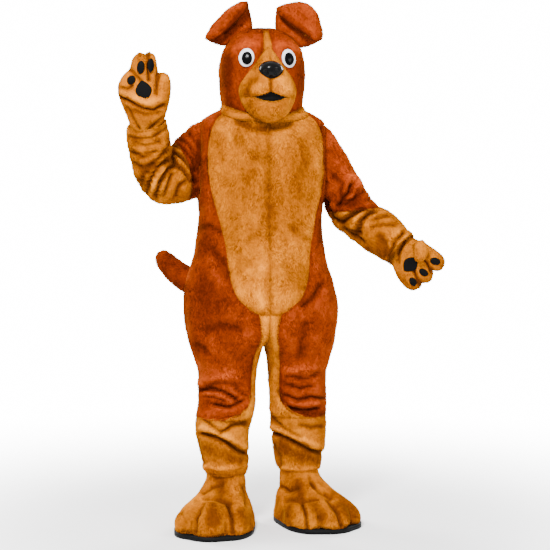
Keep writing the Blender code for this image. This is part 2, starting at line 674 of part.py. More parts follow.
def mitt_layout(outline):
    """The flat cut of a mitt: its points, its triangles, and each point's way in from the
    sewn edge with its fullness, 0 at the edge and 1 where the mitt is thickest."""
    rim = outline_points(outline, MITT_CELL * 0.8)
    corners = [point.to_2d() for point in rim]
    corners += [corners[-1].lerp(corners[0], share) for share in steps(0, 1, 5)[1:-1]]
    edges = [(i, (i + 1) % len(corners)) for i in range(len(corners))]
    inside = []
    low, high = min(c.y for c in corners), max(c.y for c in corners)
    rows = int((high - low) / (MITT_CELL * 0.87))
    for row in range(1, rows):
        y = low + (high - low) * row / rows
        for column in range(-8, 9):
            spot = Vector(((column + 0.5 * (row % 2)) * MITT_CELL, y, 0.0))
            if in_outline(spot, rim) and edge_distance(spot, rim)[0] > MITT_CELL * 0.5:
                inside.append(spot.to_2d())
    found = delaunay_2d_cdt(corners + inside, edges, [list(range(len(corners)))], 1, 1e-6)
    points, triangles = [Vector((p.x, p.y, 0.0)) for p in found[0]], found[2]
    ways = []
    for point in points:
        distance, inward = edge_distance(point, rim)
        near = min(distance / MITT_ROUND, 1.0)
        ways.append((inward * (1 - near), math.sqrt(max(0.0, 1 - (1 - near) ** 2))))
    return points, triangles, ways


def in_outline(point, rim):
    inside = False
    for a, b in zip(rim, rim[1:] + rim[:1]):
        if (a.y > point.y) != (b.y > point.y):
            if point.x < a.x + (point.y - a.y) * (b.x - a.x) / (b.y - a.y):
                inside = not inside
    return inside


def hand_point(hand, flat, out):
    """A point of a mitt: flat in the hand's plane, and out of it towards the palm's side."""
    palmward = hand["across"].cross(hand["along"])
    start, slope = hand["wrist"]
    bent = 3 * hand["curl"] * max(0.0, flat.y) ** 2 - slope * max(0.0, start - flat.y)
    return (hand["place"] + hand["across"] * flat.x + hand["along"] * flat.y
            + palmward * (out + bent))


def mitt(side):
    """A mitt's palm and back, sewn round their edge and open at the wrist, with its pads."""
    hand = MITTS[side]
    name = SIDE_NAMES[side]
    points, triangles, ways = mitt_layout(hand["outline"])
    palm = None
    for piece, facing in (("mitt_back_", -1), ("mitt_palm_", 1)):
        mesh = bmesh.new()
        number = mesh.verts.layers.int.new("number")
        corners = []
        for k, (point, (inward, full)) in enumerate(zip(points, ways)):
            out = facing * (HALF_SEAM + hand["half_thick"] * full)
            corners.append(mesh.verts.new(hand_point(hand, point, out)))
            corners[-1][number] = k
        for triangle in triangles:
            mesh.faces.new([corners[k] for k in triangle])
        made = bmesh.ops.extrude_face_region(mesh, geom=list(mesh.faces), use_keep_orig=True)
        for vertex in (part for part in made["geom"] if isinstance(part, bmesh.types.BMVert)):
            inward, full = ways[vertex[number]]
            flat = points[vertex[number]] + inward * CLOTH
            out = facing * (HALF_SEAM + (hand["half_thick"] - CLOTH) * full)
            vertex.co = hand_point(hand, flat, out)
        palm = finish(piece + name, mesh, TAN)
    tree = tree_of(palm)
    palmward = hand["across"].cross(hand["along"])
    for pad, x, y, half_x, half_y, tilt in hand["pads"]:
        applique(f"{pad}_{name}", tree, hand_point(hand, Vector((x, y, 0)), 0.0), palmward,
                 hand["along"], half_x, half_y, math.radians(tilt), PAD_THICK, BLACK,
                 lobes=PALM_LOBES if pad == "pad_palm" else 0.0)
    return tree


def folded_thumb(side, tree):
    """The relaxed hand's thumb: a padded tube that lies across the palm."""
    hand = MITTS[side]
    palmward = hand["across"].cross(hand["along"])
    path = []
    flat_path = through_flat(THUMB_PATH, 6)
    for k, (x, y) in enumerate(flat_path):
        under = foremost(tree, hand_point(hand, Vector((x, y, 0)), 0.0), palmward,
                         (hand["across"], hand["along"]), THUMB_RADIUS / 2)
        over_pad = (PAD_THICK + SEAT) * k / (len(flat_path) - 1)
        path.append(under + palmward * (THUMB_RADIUS + SEAT + over_pad))
    radii = [THUMB_RADIUS * share for share in (0.86, 0.95, 1.0, 1.0, 1.0, 0.95, 0.62)]
    rings = [[path[0]] * 12] + tube_rings(path, radii, palmward, 12)
    tip = path[-1] + (path[-1] - path[-2]).normalized() * THUMB_RADIUS * 0.45
    closed_rings("thumb_" + SIDE_NAMES[side], rings + [[tip] * 12], TAN)


def through_flat(points, count):
    return [(p.x, p.y) for p in through([(x, y, 0.0) for x, y in points], count)]


def tube_rings(path, radii, facing, count):
    """Rings round a path, one for each of its points."""
    rings = []
    for k, (point, radius) in enumerate(zip(path, radii)):
        ahead = (path[min(k + 1, len(path) - 1)] - path[max(k - 1, 0)]).normalized()
        first = (facing - ahead * facing.dot(ahead)).normalized()
        second = ahead.cross(first)
        rings.append([point + first * radius * math.cos(a) + second * radius * math.sin(a)
                      for a in (math.tau * j / count for j in range(count))])
    return rings


def closed_rings(name, rings, colour, roughness=0.9):
    """A closed solid through rings, whose first and last are each a single point repeated."""
    mesh = bmesh.new()
    corners = [[mesh.verts.new(point) for point in ring] for ring in rings]
    count = len(rings[0])
    for lower, upper in zip(corners, corners[1:]):
        for j in range(count):
            k = (j + 1) % count
            mesh.faces.new((lower[j], lower[k], upper[k], upper[j]))
    bmesh.ops.remove_doubles(mesh, verts=mesh.verts, dist=1e-6)
    return finish(name, mesh, colour, roughness)


def tree_of(*pieces):
    """The surfaces of finished pieces, to lay other pieces on."""
    points, faces = [], []
    for piece in pieces:
        first = len(points)
        points += [vertex.co.copy() for vertex in piece.data.vertices]
        faces += [[first + corner for corner in face.vertices] for face in piece.data.polygons]
    return BVHTree.FromPolygons(points, faces)


def foremost(tree, spot, facing, ways, reach):
    """Where a piece laid on a surface rests: level with the surface's highest point nearby."""
    highest = None
    for x, y in ((0, 0), (1, 0), (-1, 0), (0, 1), (0, -1)):
        start = spot + (ways[0] * x + ways[1] * y) * reach + facing * 0.3
        hit = tree.ray_cast(start, -facing)[0]
        if hit and (highest is None or (hit - spot).dot(facing) > highest):
            highest = (hit - spot).dot(facing)
    return None if highest is None else spot + facing * highest


def applique(name, tree, centre, facing, up, half_x, half_y, tilt, height, colour,
             roughness=0.5, lobes=0.0, spokes=12, rings=2, flat=0.3, seat=0.0008):
    """A rounded piece on a surface: its back follows the surface, its face bulges off it."""
    facing = facing.normalized()
    up = (up - facing * up.dot(facing)).normalized()
    right = up.cross(facing)
    outer, inner = [], []
    for ring in range(rings + 1):
        share = ring / rings
        top, bottom = [], []
        for spoke in range(spokes):
            angle = math.tau * spoke / spokes
            swell = 1 + lobes * math.cos(4 * angle) * share
            x, y = share * swell * half_x * math.cos(angle), share * swell * half_y * math.sin(angle)
            flat_spot = (centre + right * (x * math.cos(tilt) - y * math.sin(tilt))
                         + up * (x * math.sin(tilt) + y * math.cos(tilt)))
            hit = foremost(tree, flat_spot, facing, (right, up), min(half_x, half_y) / rings * 0.8)
            rise = height * (flat + (1 - flat) * math.sqrt(max(0.0, 1 - share * share)))
            bottom.append(hit + facing * seat)
            top.append(hit + facing * (seat + rise))
        outer.append(top)
        inner.append(bottom)
    return wall(name, outer, inner, colour, round_it=True, roughness=roughness)


# ---------------------------------------------------------------- the headpiece
HEAD_BASE_SPAN = 0.126
HEAD_DOME = 1.686
SHELL = 0.004
HEAD = table(
    "height half front back",
    (1.450, 0.140, 0.148, 0.150),
    (1.500, 0.142, 0.152, 0.156),
    (1.538, 0.147, 0.153, 0.162),
    (1.567, 0.151, 0.153, 0.166),
    (1.625, 0.156, 0.153, 0.168),
    (1.653, 0.157, 0.152, 0.168),
    (1.686, 0.154, 0.151, 0.166),
)
HEAD_SQUARE = 2.25
HEAD_EDGE, HEAD_DIP, HEAD_NAPE = 1.535, 0.048, 0.015
BLAZE_TOP = 1.797
BLAZE = table(
    "height half",
    (1.480, 0.020), (1.690, 0.020), (1.740, 0.0165), (1.775, 0.0120), (1.792, 0.0080), (1.797, 0.0),
)


def head_point(turn, height, out=0.0):
    """A point of the head, turned from centre front, positive towards the left."""
    half = at(HEAD, "height", "half", height)
    depth = at(HEAD, "height", "front" if abs(turn) < 90 else "back", height)
    if height > HEAD_DOME:
        share = math.sqrt(max(0.0, 1 - ((height - HEAD_DOME) / HEAD_BASE_SPAN) ** 2))
        half, depth = half * share, depth * share
    power = 2 / HEAD_SQUARE
    x = (half + out) * power_of(math.sin(math.radians(turn)), power)
    y = -(depth + out) * power_of(math.cos(math.radians(turn)), power)
    return Vector((x, y, height))


def head_normal(turn, height):
    if height > HEAD_DOME + HEAD_BASE_SPAN - 0.0005:
        return Vector((0, 0, 1))
    low, high = height - 0.001, min(height + 0.001, HEAD_DOME + HEAD_BASE_SPAN)
    ahead = head_point(turn + 1, height) - head_point(turn - 1, height)
    return ahead.cross(head_point(turn, high) - head_point(turn, low)).normalized()


def head_base(turn):
    """The height of the shell's lower edge: it dips in front."""
    front = math.cos(math.radians(turn))
    return HEAD_EDGE - HEAD_DIP * max(0.0, front) ** 1.6 - HEAD_NAPE * max(0.0, -front)


def blaze_turn(height):
    half = at(BLAZE, "height", "half", height) if height < BLAZE_TOP else 0.0
    width = head_point(90, height).x
    return math.degrees(math.asin(min(1.0, half / max(width, 1e-6)) ** (HEAD_SQUARE / 2)))


FACE_TURN = 100.0
DOME_HEIGHTS = [HEAD_DOME + HEAD_BASE_SPAN * math.sin(math.radians(a)) for a in (20, 40)]
CAP_HEIGHTS = [1.780, 1.790, BLAZE_TOP, 1.806, HEAD_DOME + HEAD_BASE_SPAN]
SIDE_SHARES = (0.0, 0.2, 0.4, 0.6, 0.8, 1.0)


def head_heights(turn):
    base = head_base(turn)
    return ([base + (HEAD_DOME - base) * share for share in SIDE_SHARES]
            + DOME_HEIGHTS + CAP_HEIGHTS)


def head_panel(name, turns_at, colour, sides, rows=None):
    """A panel of the head's shell; turns_at gives its columns at a height."""
    count = len(SIDE_SHARES) + len(DOME_HEIGHTS) + len(CAP_HEIGHTS)
    outer, inner = [], []
    for i in range(count)[:rows]:
        outside, inside = [], []
        middle_turns = turns_at(head_heights(0)[i])
        for turn in middle_turns:
            height = head_heights(turn)[i]
            outside.append(head_point(turn, height))
            inside.append(head_point(turn, height) - head_normal(turn, height) * SHELL)
        outer.append(outside)
        inner.append(inside)
    if rows is None:
        lean = (sum(outer[-2], Vector()) / len(outer[-2]) - outer[-1][0]).normalized() * 0.0006
        outer[-1] = [outer[-1][0] + lean] * len(outer[-1])
        inner[-1] = [inner[-1][0] + lean] * len(inner[-1])
    return wall(name, draw_in(outer, sides), draw_in(inner, sides), colour)


def headpiece():
    """The head's shell: two faces, a back, and the blaze between the faces."""
    faces = [
        head_panel("face_right", lambda z: steps(-FACE_TURN, -blaze_turn(z), 5), BROWN,
                   "left right"),
        head_panel("face_left", lambda z: steps(blaze_turn(z), FACE_TURN, 5), BROWN,
                   "left right"),
    ]
    back = head_panel("head_back", lambda z: steps(FACE_TURN, 360 - FACE_TURN, 8), BROWN, "left right")
    top = len(SIDE_SHARES) + len(DOME_HEIGHTS) + CAP_HEIGHTS.index(BLAZE_TOP)
    head_panel("blaze", lambda z: steps(-blaze_turn(z), blaze_turn(z), 2), TAN, "left right",
               rows=top)
    return tree_of(*faces), tree_of(*faces, back)


BAND_EDGE, BAND_DIP, BAND_NAPE = 1.519, 0.057, 0.022
BAND_SEAT = 0.0009
BAND_GAP = 0.0030
BAND_BULGE = 0.004


def neck_band(columns=32):
    """The band round the head's lower edge, which lies on the body suit's shoulders."""
    turns = [360 * j / columns for j in range(columns)]
    outer, inner = [[], [], []], [[], [], []]
    for turn in turns:
        turn = (turn + 180) % 360 - 180
        side = LEFT if turn >= 0 else RIGHT
        front = math.cos(math.radians(turn))
        low = BAND_EDGE - BAND_DIP * max(0.0, front) ** 1.7 - BAND_NAPE * max(0.0, -front)
        top = head_point(turn, head_base(turn)) - Vector((0, 0, BAND_GAP))
        top_in = top - head_normal(turn, head_base(turn)) * SHELL
        normal = skin_normal(side, abs(turn) * 1.5 - 45, low)
        foot_in = plain_skin(side, abs(turn) * 1.5 - 45, low) + normal * BAND_SEAT
        foot = foot_in + normal * CLOTH
        level = Vector((top.x, top.y, 0)).normalized()
        middle = (top + foot) / 2 + level * BAND_BULGE
        for ring, point in zip(outer, (top, middle, foot)):
            ring.append(point)
        for ring, point in zip(inner, (top_in, middle - level * CLOTH, foot_in)):
            ring.append(point)
    wall("neck_band", outer, inner, TAN, round_it=True)


MUZZLE = table(
    "height half out",
    (1.458, 0.010, 0.012), (1.466, 0.036, 0.040), (1.480, 0.060, 0.066), (1.504, 0.080, 0.084),
    (1.525, 0.092, 0.090), (1.548, 0.099, 0.093), (1.585, 0.103, 0.096), (1.619, 0.084, 0.090),
    (1.646, 0.059, 0.076), (1.670, 0.042, 0.056), (1.690, 0.029, 0.036), (1.710, 0.016, 0.017),
    (1.724, 0.004, 0.003),
)
MOUTH_CORNER = 44.0
LIPS = table(
    "turn upper lower",
    (0, 1.5640, 1.5250), (10, 1.5580, 1.5260), (20, 1.5500, 1.5290), (32, 1.5460, 1.5360),
    (MOUTH_CORNER, 1.5460, 1.5460), (60, 1.5490, 1.5490), (90, 1.5530, 1.5530),
)
MUZZLE_SEAT = 0.0016
JAW_CLEAR, JAW_CLEAR_BELOW = 0.0085, 1.512
LIP_TURNS = [0, 10, 20, 32, MOUTH_CORNER, 58, 74, 90]


def face_front(x, height):
    """How far forward the head's shell lies, under a point that far from its middle."""
    half, front = at(HEAD, "height", "half", height), at(HEAD, "height", "front", height)
    if height > HEAD_DOME:
        share = math.sqrt(1 - ((height - HEAD_DOME) / HEAD_BASE_SPAN) ** 2)
        half, front = half * share, front * share
    return -front * (1 - min(1.0, abs(x) / half) ** HEAD_SQUARE) ** (1 / HEAD_SQUARE)


def muzzle_point(turn, height, sunk=0.0):
    """A point of the muzzle, turned -90 to 90 degrees from its left foot on the face to its
    right, sunk below its outer surface."""
    half, out = at(MUZZLE, "height", "half", height), at(MUZZLE, "height", "out", height)
    sunk_here = min(sunk, 0.45 * half, 0.45 * out)
    sine, cosine = math.sin(math.radians(turn)), math.cos(math.radians(turn))
    foot = (face_front(half, height) * cosine ** 2
            + face_front(half - sunk_here, height) * sine ** 2)
    seat = MUZZLE_SEAT + JAW_CLEAR * smooth_step((JAW_CLEAR_BELOW - height) / 0.020)
    y = foot - seat - (out - sunk_here) * cosine ** 0.85
    return Vector(((half - sunk_here) * sine, y, height))


def muzzle():
    """The muzzle's two halves above the mouth and the jaw under it, stood on the face."""
    halves = []
    top = MUZZLE["height"][-1]
    shares = (0.0, 0.16, 0.34, 0.52, 0.68, 0.82, 0.92, 1.0)
    for side in (RIGHT, LEFT):
        grids = []
        for sunk in (0.0, CLOTH):
            grid = []
            for share in shares:
                row = []
                for turn in LIP_TURNS:
                    lip = at(LIPS, "turn", "upper", turn)
                    point = muzzle_point(turn * side, lip + (top - lip) * share, sunk)
                    point.x += side * HALF_SEAM
                    row.append(point)
                grid.append(row)
            grids.append(draw_in(grid, "top"))
        halves.append(wall("muzzle_" + SIDE_NAMES[side], *grids, TAN))
    low = MUZZLE["height"][0]
    turns = [-turn for turn in LIP_TURNS[:0:-1]] + LIP_TURNS
    grids = []
    for sunk in (0.0, CLOTH):
        grid = []
        for share in (0.0, 0.1, 0.28, 0.5, 0.75, 1.0):
            grid.append([muzzle_point(turn, low + (at(LIPS, "turn", "lower", abs(turn)) - low)
                                      * share, sunk) for turn in turns])
        grids.append(draw_in(grid, "bottom"))
    halves.append(wall("jaw", *grids, TAN))
    return tree_of(*halves)


LINING_LAP = 0.005
LINING_DEEP = 0.016


def mouth_lining():
    """The black pocket behind the lips."""
    turns = steps(-MOUTH_CORNER - 3, MOUTH_CORNER + 3, 8)
    grids = []
    for sunk in (CLOTH + 2 * SEAT, CLOTH + 2 * SEAT + 0.0015):
        grid = []
        for share in steps(0, 1, 3):
            row = []
            for turn in turns:
                low = at(LIPS, "turn", "lower", abs(turn)) - LINING_LAP
                high = at(LIPS, "turn", "upper", abs(turn)) + LINING_LAP
                hollow = (1 - (2 * share - 1) ** 2) * max(0.0, 1 - (turn / MOUTH_CORNER) ** 2)
                row.append(muzzle_point(turn, low + (high - low) * share,
                                        sunk + LINING_DEEP * hollow))
            grid.append(row)
        grids.append(grid)
    wall("mouth_lining", *grids, BLACK, roughness=0.4)


NOSE_HALF, NOSE_TALL = 0.044, 0.032
NOSE_HEIGHT = 1.636
NOSE_BACK, NOSE_MIDDLE, NOSE_OUT = -0.198, -0.206, 0.044


def nose(tree):
    """The hard nose: a dome before the muzzle, whose back follows it."""
    outer, inner = [], []
    spokes, rings = 16, 4
    for ring in range(rings + 1):
        share = math.sin(math.pi / 2 * ring / rings)
        front, back = [], []
        for spoke in range(spokes):
            angle = math.tau * spoke / spokes
            narrow = 1 - 0.16 * max(0.0, -math.sin(angle))
            x = NOSE_HALF * narrow * share * math.cos(angle)
            z = NOSE_HEIGHT + NOSE_TALL * share * math.sin(angle)
            hit = foremost(tree, Vector((x, 0, z)), Vector((0, -1, 0)),
                           (Vector((1, 0, 0)), Vector((0, 0, 1))), NOSE_TALL / rings / 2)
            y = min(hit.y - 4 * SEAT, NOSE_BACK) if hit else NOSE_BACK
            bulge = NOSE_MIDDLE - NOSE_OUT * math.sqrt(max(0.0, 1 - share ** 2.4))
            back.append(Vector((x, y, z)))
            front.append(Vector((x, min(bulge, y - 0.004), z)))
        outer.append(front)
        inner.append(back)
    wall("nose", outer, inner, BLACK, round_it=True, roughness=0.25)


EYE = dict(x=0.0765, height=1.687, half_x=0.0285, half_y=0.034, thick=0.009)
PUPIL = dict(half_x=0.0195, half_y=0.024, inward=0.003, down=0.004, thick=0.003)


def eyes(face_tree):
    for side in (RIGHT, LEFT):
        name = SIDE_NAMES[side]
        facing = Vector((side * 0.30, -1, 0.12))
        centre = Vector((side * EYE["x"], -0.14, EYE["height"]))
        white = applique("eye_" + name, face_tree, centre, facing, Vector((0, 0, 1)),
                         EYE["half_x"], EYE["half_y"], 0.0, EYE["thick"], WHITE, 0.3,
                         spokes=16)
        centre -= Vector((side * PUPIL["inward"], 0, PUPIL["down"]))
        applique("pupil_" + name, tree_of(white), centre, facing, Vector((0, 0, 1)),
                 PUPIL["half_x"], PUPIL["half_y"], 0.0, PUPIL["thick"], BLACK, 0.25,
                 seat=SEAT)


# Each ear stands on a line across the dome, x and y, and folds over a ridge to the flap's edge.
EARS = {
    RIGHT: dict(
        base=[(-0.032, 0.006), (-0.088, -0.012), (-0.138, -0.012)],
        ridge=[(-0.062, -0.016, 1.903), (-0.111, -0.013, 1.877), (-0.159, -0.005, 1.832),
               (-0.205, 0.000, 1.776)],
        flap=[(-0.066, -0.048, 1.872), (-0.115, -0.058, 1.815), (-0.187, -0.040, 1.757)],
    ),
    LEFT: dict(
        base=[(0.050, -0.006), (0.095, -0.022), (0.140, -0.020)],
        ridge=[(0.058, -0.020, 1.886), (0.126, -0.030, 1.895), (0.186, -0.034, 1.879),
               (0.216, -0.030, 1.780)],
        flap=[(0.054, -0.058, 1.852), (0.110, -0.082, 1.812), (0.192, -0.072, 1.756)],
    ),
}
EAR_ROLL = 0.013
EAR_HALF_THICK = 0.0068
EAR_LIFT = 0.0006
EAR_REACH = 0.004
EAR_WAYS = (Vector((1, 0, 0)), Vector((0, 1, 0)))


def dome_top(x, y):
    """The height of the head's dome over a place."""
    depth = HEAD["front"][-1] if y < 0 else HEAD["back"][-1]
    half = HEAD["half"][-1]
    share = (abs(x / half) ** HEAD_SQUARE + abs(y / depth) ** HEAD_SQUARE) ** (1 / HEAD_SQUARE)
    return HEAD_DOME + HEAD_BASE_SPAN * math.sqrt(max(0.0, 1 - share * share))


def ear(side, shell, columns=6):
    """A padded ear of two layers: it stands up, rolls over and hangs forward."""
    shape = EARS[side]
    base = through([(x, y, dome_top(x, y)) for x, y in shape["base"]], columns)
    ridge, flap = through(shape["ridge"], columns), through(shape["flap"], columns)
    forward = Vector((0, -1, 0))
    out_of_dome = Vector((side * 0.5, 0, 1)).normalized()
    middle = []
    for low, high, edge in zip(base, ridge, flap):
        up = (high - low).normalized()
        core = high - up * EAR_ROLL
        rear = core - forward * EAR_ROLL
        line = [low, low.lerp(rear, 0.4), low.lerp(rear, 0.75)]
        for angle in steps(0, math.pi, 4):
            line.append(core + (up * math.sin(angle) - forward * math.cos(angle)) * EAR_ROLL)
        line += [line[-1].lerp(edge, 0.5), edge]
        middle.append(line)
    rows = len(middle[0])
    layers = {"ear_outer_": (HALF_SEAM, 1), "ear_inner_": (HALF_SEAM, -1)}
    for piece, (seam, facing) in layers.items():
        outer, inner = [], []
        for i in range(rows):
            outside, inside = [], []
            for j in range(columns + 1):
                along = middle[j][min(i + 1, rows - 1)] - middle[j][max(i - 1, 0)]
                across = middle[min(j + 1, columns)][i] - middle[max(j - 1, 0)][i]
                normal = along.cross(across).normalized() * -side * facing
                rim = min(1.0, 3.2 * j / columns, 3.2 * (columns - j) / columns)
                end = min(1.0, 0.2 + 0.8 * (rows - 1 - i) / 1.5)
                thick = EAR_HALF_THICK * (0.28 + 0.72 * math.sqrt(rim)) * end
                outside.append(middle[j][i] + normal * (seam + thick))
                inside.append(middle[j][i] + normal * seam)
                if i == 0:
                    for points in (outside, inside):
                        points[-1] = foremost(shell, points[-1], out_of_dome, EAR_WAYS,
                                              EAR_REACH) + out_of_dome * EAR_LIFT
            outer.append(outside)
            inner.append(inside)
        wall(piece + SIDE_NAMES[side], outer, inner, BROWN)


# ---------------------------------------------------------------- the tail
TAIL = table(
    "x y z radius",
    (0.000, 0.173, 0.845, 0.060), (-0.006, 0.200, 0.846, 0.059), (-0.024, 0.232, 0.848, 0.058),
    (-0.062, 0.250, 0.851, 0.057), (-0.120, 0.252, 0.855, 0.056), (-0.190, 0.252, 0.867, 0.054),
    (-0.245, 0.252, 0.886, 0.051), (-0.287, 0.260, 0.914, 0.047), (-0.323, 0.274, 0.948, 0.041),
    (-0.349, 0.288, 0.983, 0.031),
)
TAIL_ROOT_HEIGHT, TAIL_ROOT_RADIUS = 0.845, 0.060
TAIL_SEAT = 0.0008


def back_skin(x, height):
    side = LEFT if x > 0 else RIGHT
    width, depth = (at(TORSO, "height", c, height) for c in (SIDE_NAMES[side], "back"))
    square = at(TORSO, "height", "square", height)
    return depth * (1 - (abs(x) / width) ** square) ** (1 / square)


def tail_root(radius, columns):
    """A ring of the tail's root, laid on the back."""
    ring = []
    for j in range(columns):
        angle = math.tau * j / columns
        x, height = radius * math.sin(angle), TAIL_ROOT_HEIGHT + radius * math.cos(angle)
        ring.append(Vector((x, back_skin(x, height) + TAIL_SEAT, height)))
    return ring


def tail(columns=14):
    """The stuffed tail, sewn on at the centre back and curled up to the right."""
    path = [Vector(p) for p in zip(TAIL["x"], TAIL["y"], TAIL["z"])]
    rings = tube_rings(path, TAIL["radius"], Vector((0, 0, 1)), columns)
    root = tail_root(TAIL_ROOT_RADIUS, columns)
    covered = [tail_root(TAIL_ROOT_RADIUS * share, columns) for share in (0.0, 0.4, 0.7)]
    tip = path[-1] + (path[-1] - path[-2]).normalized() * TAIL["radius"][-1] * 0.6
    closed_rings("tail", covered + [root] + rings[1:] + [[tip] * columns], BROWN)


for side in (RIGHT, LEFT):
    body_suit(side)
    shin(side)
    boot(side)
    sleeve(side)
palm_trees = {side: mitt(side) for side in (RIGHT, LEFT)}
folded_thumb(LEFT, palm_trees[LEFT])
face_tree, shell_tree = headpiece()
neck_band()
muzzle_tree = muzzle()
mouth_lining()
nose(muzzle_tree)
eyes(face_tree)
for side in (RIGHT, LEFT):
    ear(side, shell_tree)
tail()
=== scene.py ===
"""The looks of a plush dog mascot costume: every sewn panel as full cloth with its own folds and
seams, a short pile grown over it, glossy eyes and nose, rubber soles, a studio floor and lights."""
import json
import math

import bmesh
import bpy
import numpy as np
from mathutils import Euler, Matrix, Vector, noise
from mathutils.bvhtree import BVHTree
from mathutils.kdtree import KDTree


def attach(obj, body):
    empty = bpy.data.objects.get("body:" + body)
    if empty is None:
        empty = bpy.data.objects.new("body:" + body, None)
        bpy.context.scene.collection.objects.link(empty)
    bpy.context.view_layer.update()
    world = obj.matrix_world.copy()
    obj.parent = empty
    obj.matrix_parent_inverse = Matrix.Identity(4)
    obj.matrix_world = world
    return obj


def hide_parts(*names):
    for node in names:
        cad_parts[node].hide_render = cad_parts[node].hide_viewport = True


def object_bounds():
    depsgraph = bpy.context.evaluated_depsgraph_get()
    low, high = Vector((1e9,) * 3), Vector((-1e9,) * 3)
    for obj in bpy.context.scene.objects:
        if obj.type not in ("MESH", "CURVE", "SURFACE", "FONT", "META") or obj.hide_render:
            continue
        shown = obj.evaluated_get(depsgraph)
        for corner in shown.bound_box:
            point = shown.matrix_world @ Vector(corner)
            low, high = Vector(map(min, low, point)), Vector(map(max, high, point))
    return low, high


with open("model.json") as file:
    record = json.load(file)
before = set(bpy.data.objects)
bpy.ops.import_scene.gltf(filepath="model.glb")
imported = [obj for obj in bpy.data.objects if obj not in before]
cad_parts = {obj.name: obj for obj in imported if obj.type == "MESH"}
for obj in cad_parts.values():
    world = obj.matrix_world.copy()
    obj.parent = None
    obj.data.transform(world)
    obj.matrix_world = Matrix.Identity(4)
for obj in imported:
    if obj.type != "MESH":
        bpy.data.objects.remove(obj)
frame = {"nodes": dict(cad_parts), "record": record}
cad_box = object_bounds()
nodes = frame["nodes"]
slot_of = {part["node"]: part["material_slot"] for part in frame["record"]["subparts"]}
FLOOR = cad_box[0][2]

# ------------------------------------------------------------------ the camera
CAMERA_TURN = math.radians(-9)
CAMERA_TILT = math.radians(90 - 2.29)
CAMERA_AWAY, CAMERA_ASIDE, CAMERA_HEIGHT = 4.6, 0.047, -0.36
# The side of the square view and the focal length, both in pixels, and the sensor's millimetres.
VIEW = 550
FOCAL = 1260.0
SENSOR = 36.0

away = Vector((math.sin(CAMERA_TURN), -math.cos(CAMERA_TURN), 0))
across = Vector((math.cos(CAMERA_TURN), math.sin(CAMERA_TURN), 0))
camera = bpy.data.objects.new("camera", bpy.data.cameras.new("camera"))
camera.location = away * CAMERA_AWAY + across * CAMERA_ASIDE + Vector((0, 0, CAMERA_HEIGHT))
camera.rotation_euler = (CAMERA_TILT, 0, CAMERA_TURN)
camera.data.sensor_width = SENSOR
camera.data.lens = FOCAL * SENSOR / VIEW
bpy.context.scene.collection.objects.link(camera)
bpy.context.scene.camera = camera
bpy.context.view_layer.update()


def view_places(points):
    """Where the camera sees points, in pixels from the top left corner of its view."""
    turn = np.array(Euler(camera.rotation_euler).to_matrix())
    local = (points - np.array(camera.location)) @ turn
    deep = -local[:, 2]
    return np.stack([VIEW / 2 + FOCAL * local[:, 0] / deep,
                     VIEW / 2 - FOCAL * local[:, 1] / deep], axis=1)


# ------------------------------------------------------------------ materials
def group_input(group, name, kind, value):
    socket = group.interface.new_socket(name, in_out="INPUT", socket_type=kind)
    socket.default_value = value


class Graph:
    """Adds nodes to a tree and links them as they come."""

    def __init__(self, tree):
        self.tree = tree

    def add(self, kind, links=(), **settings):
        node = self.tree.nodes.new(kind)
        values = settings.pop("values", {})
        for key, value in settings.items():
            setattr(node, key, value)
        for key, value in values.items():
            node.inputs[key].default_value = value
        for key, source in dict(links).items():
            self.tree.links.new(source, node.inputs[key])
        return node

    def noise(self, vector, scale, detail, rough=0.5, distort=0.0):
        return self.add("ShaderNodeTexNoise", {"Vector": vector}, values={
            "Scale": scale, "Detail": detail, "Roughness": rough,
            "Distortion": distort}).outputs["Fac"]

    def spread(self, value, low, high):
        """A value between low and high, drawn out to 0 and 1."""
        return self.add("ShaderNodeMapRange", {"Value": value}, values={
            "From Min": low, "From Max": high}).outputs[0]

    def math(self, operation, first, second):
        node = self.add("ShaderNodeMath", operation=operation)
        for socket, value in zip(node.inputs, (first, second)):
            if isinstance(value, (int, float)):
                socket.default_value = value
            else:
                self.tree.links.new(value, socket)
        return node.outputs[0]

    def blend(self, factor, first, second, how="MIX"):
        node = self.add("ShaderNodeMix", data_type="RGBA", blend_type=how)
        for key, value in ((0, factor), (6, first), (7, second)):
            if isinstance(value, (int, float, tuple)):
                node.inputs[key].default_value = value
            else:
                self.tree.links.new(value, node.inputs[key])
        return node.outputs[2]


# The nap's patches, from broad ones down to the grain of the pile: how often each comes back in a
# metre, and the share it has in the mottle. The mottle is partly the pile's own uneven tone and
# partly a painted sheen of nap brushed different ways.
NAP_STRETCH = (1.0, 1.0, 0.6)
BROAD_SCALE, PATCH_SCALE, FLECK_SCALE, GRAIN_SCALE = 5.0, 20.0, 110.0, 260.0
BROAD_SHARE, PATCH_SHARE, FLECK_SHARE = 0.46, 0.34, 0.20
MOTTLE_LOW, MOTTLE_HIGH = 0.29, 0.69
# How much the light and shade painted on the cloth moves the mottle, and where its colours change
# over.
LIT_LEAN, MIDDLE_AT, LIGHT_AT = 1.1, 0.5, 1.1
# The brightness of the nap: its least, what the painted light and shade on it adds, and what the
# grain adds.
BRIGHT_LEAST, BRIGHT_LIT, BRIGHT_GRAIN = 0.25, 0.70, 0.10


